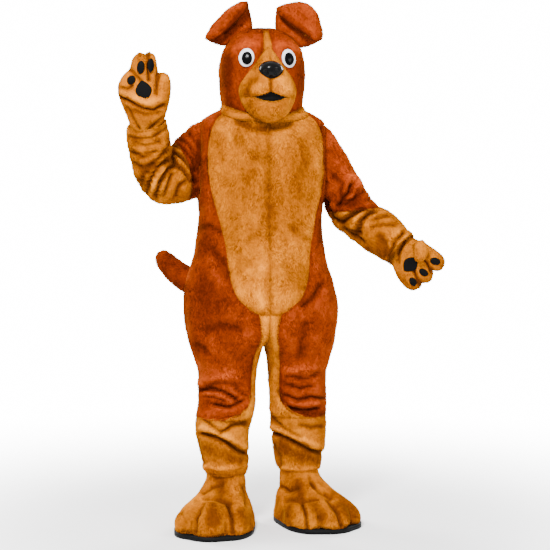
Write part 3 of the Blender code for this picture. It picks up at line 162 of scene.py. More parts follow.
def plush_group():
    """Nap mottled into lighter and darker patches, partly its own tone and partly painted sheen,
    moved by the painted light and shade of the cloth, with the grain of the pile on them.
    """
    group = bpy.data.node_groups.new("plush nap, painted light and shade", "ShaderNodeTree")
    for name in ("Shade", "Middle", "Light"):
        group_input(group, name, "NodeSocketColor", (0.5, 0.5, 0.5, 1))
    group.interface.new_socket("Color", in_out="OUTPUT", socket_type="NodeSocketColor")
    group.interface.new_socket("Height", in_out="OUTPUT", socket_type="NodeSocketFloat")
    graph = Graph(group)
    given = graph.add("NodeGroupInput").outputs
    spot = graph.add("ShaderNodeTexCoord").outputs["Object"]
    stretched = graph.add("ShaderNodeVectorMath", {0: spot}, operation="MULTIPLY",
                          values={1: NAP_STRETCH}).outputs[0]
    broad = graph.noise(stretched, BROAD_SCALE, detail=1.0, rough=0.4, distort=0.3)
    patch = graph.noise(stretched, PATCH_SCALE, detail=2.0, rough=0.5, distort=0.4)
    fleck = graph.noise(stretched, FLECK_SCALE, detail=3.0, rough=0.6)
    grain = graph.noise(spot, GRAIN_SCALE, detail=2.0)
    mottle = graph.math("ADD", graph.math("MULTIPLY", broad, BROAD_SHARE), graph.math(
        "ADD", graph.math("MULTIPLY", patch, PATCH_SHARE),
        graph.math("MULTIPLY", fleck, FLECK_SHARE)))
    spread = graph.spread(mottle, MOTTLE_LOW, MOTTLE_HIGH)
    # The cloth's painted light and shade: under 1 in painted shade, over 1 in painted light.
    lit = graph.add("ShaderNodeAttribute", attribute_name="lit").outputs["Fac"]
    lean = graph.math("ADD", spread,
                      graph.math("MULTIPLY", graph.math("SUBTRACT", lit, 1.0), LIT_LEAN))
    low = graph.spread(lean, 0.0, MIDDLE_AT)
    high = graph.spread(lean, MIDDLE_AT, LIGHT_AT)
    nap_tone_and_painted_shade = graph.blend(high, graph.blend(low, given["Shade"], given["Middle"]), given["Light"])
    # The painted light and shade also darken and lighten the colour as a whole.
    grown = graph.math("ADD", graph.math("MULTIPLY", lit, BRIGHT_LIT),
                       graph.math("ADD", BRIGHT_LEAST,
                                  graph.math("MULTIPLY", grain, BRIGHT_GRAIN)))
    shown = graph.blend(1.0, nap_tone_and_painted_shade, graph.add("ShaderNodeCombineColor", {
        "Red": grown, "Green": grown, "Blue": grown}).outputs[0], how="MULTIPLY")
    graph.add("NodeGroupOutput", {"Color": shown, "Height": graph.math("ADD", patch, grain)})
    return group


WEAR_SCALE, WEAR_SWING = 30.0, 0.25


def grain_group():
    """A fine uneven grain, as a height and as a mask for the roughness."""
    group = bpy.data.node_groups.new("fine grain", "ShaderNodeTree")
    group_input(group, "Scale", "NodeSocketFloat", 300.0)
    group_input(group, "Dark", "NodeSocketColor", (0.01, 0.01, 0.01, 1))
    group_input(group, "Pale", "NodeSocketColor", (0.03, 0.03, 0.03, 1))
    group_input(group, "Rough", "NodeSocketFloat", 0.5)
    for name, kind in (("Color", "NodeSocketColor"), ("Roughness", "NodeSocketFloat"),
                       ("Height", "NodeSocketFloat")):
        group.interface.new_socket(name, in_out="OUTPUT", socket_type=kind)
    graph = Graph(group)
    given = graph.add("NodeGroupInput").outputs
    spot = graph.add("ShaderNodeTexCoord").outputs["Object"]
    fine = graph.add("ShaderNodeTexNoise", {"Vector": spot, "Scale": given["Scale"]},
                     values={"Detail": 3.0}).outputs["Fac"]
    wear = graph.noise(spot, WEAR_SCALE, detail=4.0, rough=0.6)
    rough = graph.math("ADD", given["Rough"], graph.math(
        "MULTIPLY", graph.math("SUBTRACT", wear, 0.5), WEAR_SWING))
    graph.add("NodeGroupOutput", {"Color": graph.blend(wear, given["Dark"], given["Pale"]),
                                  "Roughness": rough, "Height": fine})
    return group


PLUSH = plush_group()
GRAIN = grain_group()


def new_material(name):
    """A material and its shader."""
    material = bpy.data.materials.new(name)
    material.use_nodes = True
    return material, material.node_tree.nodes["Principled BSDF"]


def bumped(material, shader, group, strength, distance):
    """Raises a material by its group's height, up to a distance in metres."""
    bump = material.node_tree.nodes.new("ShaderNodeBump")
    bump.inputs["Strength"].default_value = strength
    bump.inputs["Distance"].default_value = distance
    material.node_tree.links.new(group.outputs["Height"], bump.inputs["Height"])
    material.node_tree.links.new(bump.outputs["Normal"], shader.inputs["Normal"])


PLUSH_ROUGH, PLUSH_SHEEN, PLUSH_SHEEN_ROUGH = 0.85, 0.16, 0.4
PLUSH_BUMP, PLUSH_BUMP_DEPTH = 0.35, 0.0015


def plush(name, shade, middle, light, sheen):
    """Short plush in three shades of its colour, a darker one for painted shade and a lighter one
    for painted light, with a tinted sheen.
    """
    material, shader = new_material(name)
    group = material.node_tree.nodes.new("ShaderNodeGroup")
    group.node_tree = PLUSH
    for key, colour in (("Shade", shade), ("Middle", middle), ("Light", light)):
        group.inputs[key].default_value = (*colour, 1)
    material.node_tree.links.new(group.outputs["Color"], shader.inputs["Base Color"])
    shader.inputs["Roughness"].default_value = PLUSH_ROUGH
    shader.inputs["Specular IOR Level"].default_value = 0.0
    shader.inputs["Sheen Weight"].default_value = PLUSH_SHEEN
    shader.inputs["Sheen Roughness"].default_value = PLUSH_SHEEN_ROUGH
    shader.inputs["Sheen Tint"].default_value = (*sheen, 1)
    bumped(material, shader, group, PLUSH_BUMP, PLUSH_BUMP_DEPTH)
    return material


def grained(name, dark, pale, rough, scale, bump, distance, shine):
    """A smooth stuff between two colours, with a fine grain of a given scale and depth."""
    material, shader = new_material(name)
    group = material.node_tree.nodes.new("ShaderNodeGroup")
    group.node_tree = GRAIN
    group.inputs["Dark"].default_value = (*dark, 1)
    group.inputs["Pale"].default_value = (*pale, 1)
    group.inputs["Rough"].default_value = rough
    group.inputs["Scale"].default_value = scale
    material.node_tree.links.new(group.outputs["Color"], shader.inputs["Base Color"])
    material.node_tree.links.new(group.outputs["Roughness"], shader.inputs["Roughness"])
    shader.inputs["Specular IOR Level"].default_value = shine
    bumped(material, shader, group, bump, distance)
    return material


MATERIALS = {
    # Each plush has a painted shade colour, a middle one and a painted light colour.
    "rust_plush": plush("rust plush", shade=(0.105, 0.0115, 0.0012),
                        middle=(0.235, 0.0290, 0.0028), light=(0.40, 0.062, 0.0080),
                        sheen=(1.0, 0.28, 0.03)),
    "tan_plush": plush("tan plush", shade=(0.175, 0.038, 0.0), middle=(0.40, 0.108, 0.0),
                       light=(0.63, 0.205, 0.0020), sheen=(1.0, 0.45, 0.02)),
    "pad_cloth": grained("pad cloth", dark=(0.0006, 0.0006, 0.0007), pale=(0.0028, 0.0028, 0.003),
                         rough=0.7, scale=900, bump=0.5, distance=0.0008, shine=0.05),
    "rubber_sole": grained("sole rubber", dark=(0.001, 0.001, 0.001),
                           pale=(0.0035, 0.0035, 0.004), rough=0.6, scale=500, bump=0.4,
                           distance=0.0006, shine=0.07),
    "nose_shell": grained("nose shell", dark=(0.001, 0.001, 0.001), pale=(0.003, 0.003, 0.003),
                          rough=0.24, scale=420, bump=0.12, distance=0.0003, shine=0.09),
    "mouth_vinyl": grained("mouth vinyl", dark=(0.001, 0.001, 0.001), pale=(0.003, 0.003, 0.003),
                           rough=0.35, scale=200, bump=0.25, distance=0.0006, shine=0.05),
    "eye_white": grained("eye white", dark=(0.68, 0.68, 0.72), pale=(0.74, 0.74, 0.78),
                         rough=0.3, scale=80, bump=0.03, distance=0.0002, shine=0.2),
    "eye_black": grained("eye black", dark=(0.0006, 0.0006, 0.0008), pale=(0.002, 0.002, 0.002),
                         rough=0.14, scale=200, bump=0.03, distance=0.0002, shine=0.05),
}

# ------------------------------------------------------------------ the run of the body
# Lines through the middle of each part, head to hem and shoulder to hand: the pile lies along
# them, and the cloth's outer side faces away from them.
HEAD_CENTRE = (0, 0, 0.22)
SPINE = [(0, 0, 0.20), (0, 0, -0.75)]
MUZZLE_LINE = [(0, -0.13, 0.20), (0, -0.13, 0.02)]
ARMS = {
    "right": [(-0.20, 0.01, -0.13), (-0.30, 0.0, -0.165), (-0.375, -0.035, -0.195),
              (-0.41, -0.08, -0.15), (-0.425, -0.13, -0.06), (-0.435, -0.174, 0.24)],
    "left": [(0.20, 0.0, -0.14), (0.30, 0.02, -0.24), (0.345, 0.02, -0.30),
             (0.41, -0.02, -0.373), (0.47, -0.05, -0.43), (0.541, -0.09, -0.50),
             (0.60, -0.10, -0.57)],
}
LEGS = {
    "right": [(-0.135, 0, -0.75), (-0.14, 0, -1.05), (-0.14, 0, -1.42)],
    "left": [(0.135, 0.01, -0.75), (0.140, 0.03, -1.05), (0.143, 0.04, -1.42)],
}
TAIL_LINE = [(0, 0.17, -0.61), (-0.12, 0.252, -0.605), (-0.245, 0.252, -0.574),
             (-0.349, 0.288, -0.477)]


def lines_of(name):
    """The middle lines that a piece runs round."""
    side = "left" if name.endswith("left") else "right"
    if name.startswith(("back", "front")):
        return [SPINE, LEGS[side]]
    if name.startswith(("belly", "face", "head", "blaze", "neck")):
        return [SPINE]
    if name.startswith(("inner", "shin", "boot")):
        return [LEGS[side]]
    if name.startswith(("upper", "lower", "mitt")):
        return [ARMS[side]]
    if name.startswith(("muzzle", "jaw", "mouth")):
        return [MUZZLE_LINE]
    return [TAIL_LINE] if name == "tail" else None


def outward_and_along(points, lines):
    """For each point, the way out from the nearest middle line and the way along it."""
    best = np.full(len(points), 1e9)
    out, along = np.zeros_like(points), np.zeros_like(points)
    for line in lines:
        for a, b in zip(np.array(line[:-1], float), np.array(line[1:], float)):
            step = b - a
            share = np.clip((points - a) @ step / (step @ step), 0, 1)
            offset = points - a - share[:, None] * step
            far = np.linalg.norm(offset, axis=1)
            near = far < best
            best[near] = far[near]
            out[near] = offset[near] / np.maximum(far[near], 1e-9)[:, None]
            along[near] = step / np.linalg.norm(step)
    return out, along


# ------------------------------------------------------------------ folds
MM = 0.001
# Each fold is a stroke drawn as the camera sees it: its points in pixels of the view, half its
# width in pixels, and how far it stands out of the cloth, in millimetres.
FOLDS = {
    ("upper_sleeve_right", "lower_sleeve_right"): [
        ([(173, 143), (184, 150), (193, 160), (198, 171)], 1.7, -11),
        ([(180, 138), (190, 146), (197, 156), (201, 166)], 1.7, -10),
        ([(174, 152), (184, 160), (192, 171), (197, 182)], 1.7, -11),
        ([(175, 162), (184, 170), (191, 180)], 1.5, -9),
        ([(188, 131), (196, 141), (202, 151)], 1.6, -7),
        ([(177, 147), (188, 155), (196, 166)], 1.4, 6),
        ([(176, 157), (187, 166), (194, 177)], 1.4, 6),
        ([(184, 142), (194, 152), (200, 162)], 1.4, 5),
        ([(146, 198), (149, 184), (158, 170), (172, 158)], 2.2, -11),
        ([(155, 198), (160, 184), (167, 172), (174, 166)], 2.0, -10),
        ([(139, 188), (143, 176), (154, 166)], 2.0, -8),
        ([(165, 195), (170, 183), (173, 175)], 1.8, -8),
        ([(150, 194), (155, 180), (164, 168)], 2.0, 6),
        ([(130, 152), (142, 157), (157, 152)], 1.8, -6),
        ([(132, 164), (143, 169), (158, 161), (168, 150)], 1.8, -7),
        ([(134, 143), (146, 146), (160, 142)], 1.8, -5),
        ([(176, 197), (180, 186), (186, 181)], 1.8, -6),
        ([(128, 137), (140, 139.5), (152, 138.5), (167, 128)], 1.6, -5),
    ],
    ("mitt_palm_right", "mitt_back_right"): [
        ([(119, 97), (131, 102), (143, 108.5), (154, 110), (165, 105)], 1.5, -9),
        ([(121, 88), (127, 89.5), (132, 86)], 1.4, -5),
        ([(147.5, 54), (149, 66), (148.5, 80)], 1.4, -10),
        ([(129, 68), (136, 76), (141, 81)], 1.3, -7),
        ([(159, 72), (157, 82), (156, 94)], 1.4, -9),
        ([(134, 111), (146, 115), (160, 113)], 2.4, -5),
        ([(122, 92), (134, 98), (146, 103), (160, 100)], 2.6, 4),
        ([(127, 108), (133, 120), (139, 130)], 1.3, -5),
        ([(164, 117), (156, 124), (148, 131)], 1.3, -5),
    ],
    ("upper_sleeve_left", "lower_sleeve_left"): [
        ([(353, 182), (350, 192), (339, 205)], 2.0, -12),
        ([(362, 190), (355, 197), (346, 204)], 1.8, -10),
        ([(357, 186), (352, 194), (344, 202)], 1.4, 6),
        ([(370, 198), (358, 201), (350, 206)], 1.6, -7),
        ([(352, 178), (357, 181), (360, 188)], 2.6, 8),
        ([(330, 152), (336, 145), (337, 156)], 2.0, -4),
        ([(333, 176), (342, 184), (340, 196)], 2.4, -5),
        ([(323, 200), (330, 208), (332, 218), (341, 223)], 1.8, -11),
        ([(331, 205), (336, 214), (346, 212)], 1.8, 5),
        ([(342, 223), (352, 215), (364, 209)], 1.8, -10),
        ([(357, 233), (360, 222), (367, 214), (374, 210)], 2.0, -11),
        ([(352, 226), (357, 217), (364, 212)], 1.8, 5),
        ([(343, 229), (350, 235), (361, 241)], 2.0, -10),
        ([(350, 229), (356, 234), (360, 234)], 1.4, -6),
        ([(374, 219), (388, 215)], 1.6, -5),
        ([(372, 227), (384, 223), (395, 224)], 1.8, -5),
        ([(379, 236), (386, 246), (385, 256)], 2.4, -5),
        ([(404, 231), (395, 240), (391, 251), (389, 262)], 1.6, -9),
        ([(408, 235), (399, 244), (395, 256), (392, 266)], 1.6, 5),
    ],
    ("mitt_palm_left", "mitt_back_left"): [
        ([(420, 285), (416, 276), (413, 268)], 1.3, -8),
        ([(432, 272), (427, 263), (421, 257)], 1.3, -8),
        ([(404, 240), (399, 250), (398, 262)], 1.6, -6),
        ([(426, 240), (424, 250), (426, 256)], 1.6, -5),
    ],
    ("front_right", "inner_leg_right", "back_right"): [
        ([(198, 390), (210, 389), (222, 391.5), (236, 399)], 1.8, -10),
        ([(214, 404), (228, 407), (243, 401)], 1.6, -8),
        ([(203, 396), (214, 397), (226, 401)], 1.5, -4),
        ([(206, 393), (222, 396), (234, 403)], 2.0, 3),
        ([(206, 385), (222, 383), (237, 386)], 2.4, -5),
        ([(196, 384), (208, 379), (224, 377)], 2.6, 4),
        ([(236, 389), (244, 394), (250, 396)], 1.6, -5),
        ([(212, 250), (222, 262), (226, 276)], 4.0, -5),
        ([(199, 228), (210, 226), (219, 232)], 2.4, -5),
        ([(196, 345), (203, 348), (207, 354)], 2.0, -5),
        ([(206, 330), (220, 326), (240, 330)], 4.0, -4),
        ([(208, 160), (212, 176), (222, 196)], 3.0, -4),
    ],
    ("front_left", "inner_leg_left", "back_left"): [
        ([(288, 385), (300, 389), (313, 386)], 1.8, -7),
        ([(284, 395), (298, 400), (312, 397), (324, 398)], 1.6, -7),
        ([(291, 408), (304, 411), (317, 408)], 1.7, -9),
        ([(289, 403), (303, 405), (318, 403)], 1.8, 3),
        ([(289, 376), (306, 380), (319, 373)], 2.0, -6),
        ([(286, 371), (300, 369), (314, 367)], 2.4, 4),
        ([(277, 391), (283, 400), (290, 407)], 1.8, -6),
        ([(323, 284), (313, 299), (304, 306)], 2.8, -7),
        ([(305, 325), (303, 345), (300, 358)], 4.0, -5),
        ([(322, 128), (327, 146), (325, 168)], 2.4, -6),
    ],
    ("shin_right",): [
        ([(201, 433), (214, 437), (228, 443), (240, 451), (248, 453)], 2.0, -13),
        ([(203, 428), (216, 432), (230, 438), (242, 446)], 2.4, 6),
        ([(202, 416), (210, 425), (219, 432)], 1.8, -8),
        ([(221, 433), (233, 426), (247, 423)], 2.0, -9),
        ([(224, 421), (236, 420), (247, 414)], 2.0, -6),
        ([(197, 440), (199, 455), (204, 464)], 1.8, -6),
        ([(206, 466), (224, 469), (244, 465)], 2.2, 5),
    ],
    ("shin_left",): [
        ([(271, 432), (284, 437), (298, 444), (312, 451), (323, 453)], 2.0, -13),
        ([(273, 427), (286, 432), (300, 438), (316, 446)], 2.4, 6),
        ([(273, 418), (283, 429), (300, 437)], 1.8, -8),
        ([(300, 425), (312, 428), (322, 426)], 2.2, -5),
        ([(273, 444), (278, 456), (281, 466)], 1.8, -6),
        ([(283, 468), (300, 471), (318, 467)], 2.2, 5),
    ],
    ("boot_right",): [
        ([(188, 516), (185, 526)], 5.5, 5),
        ([(212, 508), (214, 526)], 7.5, 7),
        ([(240, 512), (242, 526)], 5.5, 5),
        ([(204, 505), (197, 517), (195, 532)], 1.4, -10),
        ([(228, 505), (232, 517), (232, 533)], 1.4, -10),
        ([(203, 493), (211, 487), (222, 484)], 2.0, -6),
        ([(214, 478), (232, 476)], 1.8, -5),
        ([(244, 487), (247, 497), (246, 506)], 2.0, -5),
        ([(182, 512), (186, 522), (184, 531)], 1.8, -4),
        ([(206, 499), (216, 500), (230, 503)], 2.4, -5),
    ],
    ("boot_left",): [
        ([(291, 510), (290, 524)], 6.5, 6),
        ([(318, 508), (323, 526)], 7.5, 7),
        ([(344, 508), (350, 521)], 5.0, 5),
        ([(302, 504), (306, 516), (307, 530)], 1.4, -10),
        ([(327, 501), (338, 513), (342, 527)], 1.4, -10),
        ([(279, 486), (288, 491), (297, 488)], 2.0, -6),
        ([(312, 483), (320, 492), (331, 498)], 2.0, -6),
        ([(284, 512), (282, 524)], 1.8, -4),
        ([(288, 501), (300, 501), (318, 500)], 2.4, -5),
        ([(310, 478), (314, 486)], 1.8, -4),
    ],
    ("belly_right", "belly_left"): [
        ([(236, 140), (252, 156), (270, 160)], 4.0, -2),
        ([(290, 226), (300, 235), (314, 243)], 2.4, -3),
        ([(246, 242), (258, 237), (270, 236)], 3.0, -1.5),
        ([(249, 262), (241, 272), (246, 286)], 3.0, -2),
        ([(286, 268), (292, 280), (300, 288)], 3.4, -2),
        ([(262, 268), (258, 290), (262, 306)], 3.6, 3),
        ([(240, 122), (256, 130), (272, 128), (290, 124)], 3.0, -5),
    ],
    ("muzzle_right", "muzzle_left"): [
        ([(270.5, 79), (270.5, 92)], 1.1, -4),
        ([(256, 78), (248, 86), (246, 96)], 3.0, -3),
        ([(262, 82), (258, 90), (262, 96)], 5.0, 4),
        ([(281, 82), (286, 90), (284, 96)], 5.0, 4),
    ],
    ("nose",): [
        ([(265.5, 71.5), (266.5, 73.5)], 1.5, -3.5),
        ([(276.5, 71), (276, 73)], 1.5, -3.5),
    ],
    ("face_right",): [
        ([(236, 50), (246, 43), (258, 45)], 3.0, 4),
    ],
    ("face_left",): [
        ([(280, 46), (290, 45), (299, 51)], 3.0, 4),
    ],
    ("ear_outer_left", "ear_inner_left"): [
        ([(284, 17), (296, 24), (310, 35)], 1.8, -4),
    ],
    ("ear_outer_right", "ear_inner_right"): [
        ([(240, 12), (234, 22), (224, 32)], 1.8, -4),
    ],
}
# Patches of painted shade and painted light: darker in recesses such as toe grooves and below
# folds, and painted sheen where the nap would lie lighter or darker. Each has its stroke in the
# view, half its width, and the change.
PAINTED_LIGHT_AND_SHADE = {
    ("shin_right",): [
        ([(206, 448), (222, 455), (242, 461)], 7.0, -0.34), ([(204, 428), (226, 436)], 5.0, 0.16),
        ([(233, 417), (247, 424)], 3.5, -0.34), ([(240, 432), (247, 446)], 3.0, 0.18),
    ],
    ("shin_left",): [
        ([(282, 446), (300, 455), (321, 462)], 7.0, -0.36), ([(282, 428), (306, 436)], 5.0, 0.14),
        ([(290, 424), (296, 428)], 3.0, -0.3), ([(316, 430), (323, 446)], 3.5, 0.16),
    ],
    ("boot_right",): [
        ([(222, 482), (220, 497)], 5.0, -0.3), ([(213, 508), (212, 522)], 6.0, -0.34),
        ([(192, 514), (184, 528)], 5.0, -0.24), ([(240, 512), (244, 526)], 5.0, -0.3),
        ([(200, 498), (206, 487)], 4.0, 0.2), ([(236, 490), (243, 502)], 5.0, 0.15),
        ([(186, 518), (246, 518)], 20.0, -0.20), ([(220, 478), (218, 500)], 8.0, -0.16),
    ],
    ("boot_left",): [
        ([(297, 484), (300, 496)], 5.0, -0.3), ([(314, 506), (322, 520)], 7.0, -0.4),
        ([(292, 508), (291, 522)], 5.0, -0.26), ([(340, 506), (350, 518)], 5.0, -0.34),
        ([(282, 492), (284, 504)], 4.0, 0.15), ([(320, 490), (334, 500)], 5.0, 0.18),
        ([(286, 516), (350, 514)], 20.0, -0.22), ([(298, 480), (300, 500)], 8.0, -0.14),
    ],
    ("belly_right", "belly_left"): [
        ([(248, 146), (254, 176), (252, 214)], 24.0, -0.11),
        ([(300, 150), (304, 190)], 14.0, -0.08),
        ([(318, 150), (319, 190), (312, 240)], 5.0, 0.20), ([(215, 150), (222, 200)], 4.0, 0.12),
        ([(246, 292), (262, 304), (284, 300)], 9.0, 0.24), ([(226, 170), (236, 230)], 10.0, -0.08),
        ([(248, 270), (240, 286)], 6.0, 0.16), ([(230, 240), (240, 262)], 7.0, -0.14),
        ([(300, 262), (304, 286)], 6.0, -0.14), ([(234, 120), (262, 128), (296, 122)], 4.0, -0.26),
    ],
    ("upper_sleeve_right", "lower_sleeve_right"): [
        ([(132, 142), (136, 170), (146, 192)], 6.0, -0.1), ([(150, 178), (160, 190)], 4.0, 0.2),
        ([(156, 148), (162, 160)], 4.0, 0.14), ([(206, 128), (200, 160)], 5.0, -0.28),
        ([(142, 170), (150, 176)], 3.5, -0.25),
    ],
    ("upper_sleeve_left", "lower_sleeve_left"): [
        ([(333, 210), (342, 222)], 4.0, -0.25), ([(352, 214), (366, 224)], 4.5, 0.2),
        ([(382, 238), (380, 250)], 5.0, -0.2), ([(398, 232), (390, 246)], 3.5, 0.2),
        ([(330, 150), (332, 176)], 5.0, -0.2), ([(344, 170), (352, 180)], 4.0, 0.14),
    ],
    ("front_right",): [
        ([(200, 220), (206, 250)], 7.0, -0.2), ([(202, 280), (222, 300)], 9.0, -0.12),
        ([(196, 320), (212, 350)], 6.0, 0.16), ([(226, 340), (240, 364)], 7.0, -0.14),
        ([(206, 402), (226, 402)], 4.5, -0.2), ([(220, 372), (240, 376)], 4.0, 0.14),
    ],
    ("front_left",): [
        ([(322, 200), (321, 240)], 5.0, -0.22), ([(322, 284), (326, 310)], 6.0, 0.12),
        ([(296, 330), (310, 350)], 8.0, -0.12), ([(290, 406), (320, 414)], 4.5, -0.24),
        ([(290, 372), (316, 376)], 4.0, 0.12),
    ],
    ("mitt_palm_right",): [
        ([(134, 98), (150, 104)], 5.0, 0.14), ([(143, 118), (152, 124)], 6.0, -0.24),
        ([(126, 74), (124, 84)], 3.0, 0.12),
    ],
    ("muzzle_right", "muzzle_left"): [
        ([(252, 80), (262, 80)], 4.0, -0.26), ([(246, 90), (248, 96)], 5.0, -0.2),
        ([(240, 84), (238, 96)], 4.0, -0.16), ([(298, 84), (300, 96)], 4.0, -0.16),
        ([(268, 84), (268, 92)], 4.0, 0.1), ([(288, 84), (290, 92)], 4.0, 0.08),
    ],
    ("jaw",): [([(252, 104), (270, 110), (286, 104)], 4.0, -0.2)],
    ("ear_outer_right", "ear_inner_right", "ear_outer_left", "ear_inner_left"): [
        ([(230, 16), (222, 28)], 4.0, -0.12), ([(290, 12), (306, 20)], 5.0, -0.12),
        ([(296, 32), (310, 38)], 4.0, 0.12),
    ],
    ("face_right", "face_left"): [
        ([(228, 60), (226, 84)], 5.0, -0.2), ([(236, 96), (240, 104)], 4.0, -0.1),
        ([(303, 66), (301, 90)], 4.0, -0.22), ([(232, 48), (248, 44)], 4.0, 0.1),
        ([(224, 60), (232, 104)], 14.0, -0.16), ([(302, 60), (298, 100)], 12.0, -0.12),
    ],
    ("inner_leg_right", "inner_leg_left"): [
        ([(262, 316), (258, 340), (254, 380), (250, 412)], 9.0, 0.3),
        ([(270, 316), (274, 350), (276, 380), (277, 412)], 9.0, 0.3),
    ],
    ("tail",): [([(152, 252), (180, 284), (200, 296)], 14.0, -0.2)],
}
# How high the rumples of each kind of piece stand, in millimetres.
RUMPLE = {"shin": 2.2, "upper": 2.6, "lower": 3.0, "front": 1.8, "back": 2.2, "belly": 1.6,
          "inner": 1.6, "boot": 1.4, "mitt": 1.0, "neck": 1.6, "face": 0.7, "head": 0.7,
          "ear": 1.6, "tail": 1.8, "muzzle": 0.6, "jaw": 0.6, "thumb": 0.8}
# Folds of the back of the suit, drawn as they would be seen through it from the front.
BACK_FOLDS = {
    ("back_right",): [
        ([(206, 300), (230, 306), (262, 300)], 3.0, -5),
        ([(214, 262), (240, 268), (268, 262)], 3.0, -4),
        ([(205, 345), (225, 352), (248, 346)], 2.4, -6),
        ([(222, 150), (244, 160), (268, 156)], 4.0, -4),
        ([(210, 322), (228, 330), (240, 326)], 3.0, 4),
        ([(208, 196), (226, 206), (240, 200)], 3.5, -4),
    ],
    ("back_left",): [
        ([(280, 300), (305, 306), (328, 298)], 3.0, -5),
        ([(284, 262), (306, 266), (320, 260)], 3.0, -4),
        ([(285, 350), (305, 355), (322, 348)], 2.4, -6),
        ([(276, 156), (300, 158), (322, 150)], 4.0, -4),
        ([(296, 328), (312, 332), (326, 326)], 3.0, 4),
        ([(296, 210), (310, 204), (322, 208)], 3.5, -4),
    ],
}
# The share of each fold on the side turned away, and how much deeper and wider than drawn all are.
HIDDEN_FOLDS = 0.75
FOLD_DEPTH, FOLD_WIDTH = 1.9, 1.2
# A stroke counts in full on cloth that faces the camera, and fades out as it turns edge on.
FACING_OFFSET, FACING_SPAN = 0.05, 0.35
# How deep a seam is sunk, how far its trough reaches, and how far each edge laps over it.
SEAM_SUNK, SEAM_REACH, SEAM_LAP = 0.0020, 0.009, 0.0014
# How deep an ear's foot goes into the head's plush, and how far up the ear that reaches.
EAR_SUNK, EAR_SUNK_REACH = 0.006, 0.030


def stroke_distance(places, points):
    """How far places in the view lie from a drawn stroke."""
    nearest = np.full(len(places), 1e9)
    for a, b in zip(np.array(points[:-1], float), np.array(points[1:], float)):
        step = b - a
        share = np.clip((places - a) @ step / (step @ step), 0, 1)
        nearest = np.minimum(nearest, np.linalg.norm(places - a - share[:, None] * step, axis=1))
    return nearest


def drawn(table, name, points, outward, widened=1.0, hidden=0.0):
    """What a table of drawn lines gives each of a piece's points: whole on the side that faces
    the camera, and a share of it on the hidden side, which has similar ones."""
    total = np.zeros(len(points))
    to_camera = np.array(camera.location) - points
    to_camera /= np.linalg.norm(to_camera, axis=1)[:, None]
    seen = (outward * to_camera).sum(1)
    facing = np.clip((np.abs(seen) + FACING_OFFSET) / FACING_SPAN, 0, 1)
    facing *= np.where(seen < 0, hidden, 1)
    places = view_places(points)
    for names, lines in table.items():
        if name in names:
            for line, width, amount in lines:
                far = stroke_distance(places, line)
                total += amount * facing * np.exp(-(far / (width * widened)) ** 2)
    return total


# Rumples are broad swells with sharper creases between them, both pressed together along the limb.
RUMPLE_STRETCH = 0.9
SWELL_SCALE, SWELL_HIGH = 11.0, 1.3
CREASE_SCALE, CREASE_NARROW, CREASE_DEEP = 19.0, 3, 0.9
CREASE_SPOT = Vector((7, 3, 1))
RUMPLE_LIFT = 0.3


def rumples(name, points, along):
    """Soft uneven rises all over the cloth, shorter along the limb than across it."""
    size = next((RUMPLE[key] for key in RUMPLE if name.startswith(key)), 0.0) * MM
    if not size:
        return np.zeros(len(points))
    made = []
    for point, way in zip(points, along):
        stretched = Vector(point) + Vector(way) * float(np.dot(point, way)) * RUMPLE_STRETCH
        swell = noise.noise(stretched * SWELL_SCALE)
        crease = 1 - abs(noise.noise(stretched * CREASE_SCALE + CREASE_SPOT)) * CREASE_NARROW
        made.append(size * (SWELL_HIGH * swell - CREASE_DEEP * max(0.0, crease) ** 2
                            + RUMPLE_LIFT))
    return np.array(made)


# ------------------------------------------------------------------ cloth
# Pieces whose corners stay round, and the angles past which an edge or a corner is kept sharp.
ROUND_CORNERED = ("ear", "pad", "mitt", "eye", "pupil")
SHARP_EDGE, SHARP_CORNER = math.radians(55), math.radians(50)
# Points this near are one, and two triangles this flat and this square make one face.
WELD = 1e-5
PAIR_BEND, PAIR_SKEW = math.radians(40), math.radians(50)
# How often an ear's outline is rounded and how strongly, and how far its stuffing fills it out.
EAR_ROUNDS, EAR_PUFF = 3, 0.007
EAR_OUTLINE_DRAWN, EAR_INSIDE_SMOOTHED = 0.5, 0.3


def corner_turn(vertex, sharp):
    """How far the sharp edges at a vertex bend there."""
    edges = [edge for edge in vertex.link_edges if edge in sharp]
    if len(edges) != 2:
        return 0.0 if not edges else math.pi
    ways = [(edge.other_vert(vertex).co - vertex.co).normalized() for edge in edges]
    return math.pi - ways[0].angle(ways[1], math.pi)


def round_outline(made, sharp):
    """Rounds the corners of a stuffed piece's outline, as turning it right side out leaves them."""
    for _ in range(EAR_ROUNDS):
        middles = {}
        for vertex in made.verts:
            ends = [edge.other_vert(vertex).co for edge in vertex.link_edges if edge in sharp]
            if len(ends) >= 2:
                middles[vertex] = sum(ends, Vector()) / len(ends)
        for vertex, middle in middles.items():
            vertex.co = vertex.co.lerp(middle, EAR_OUTLINE_DRAWN)
        inside = [vertex for vertex in made.verts if vertex not in middles]
        bmesh.ops.smooth_vert(made, verts=inside, factor=EAR_INSIDE_SMOOTHED, use_axis_x=True,
                              use_axis_y=True, use_axis_z=True)


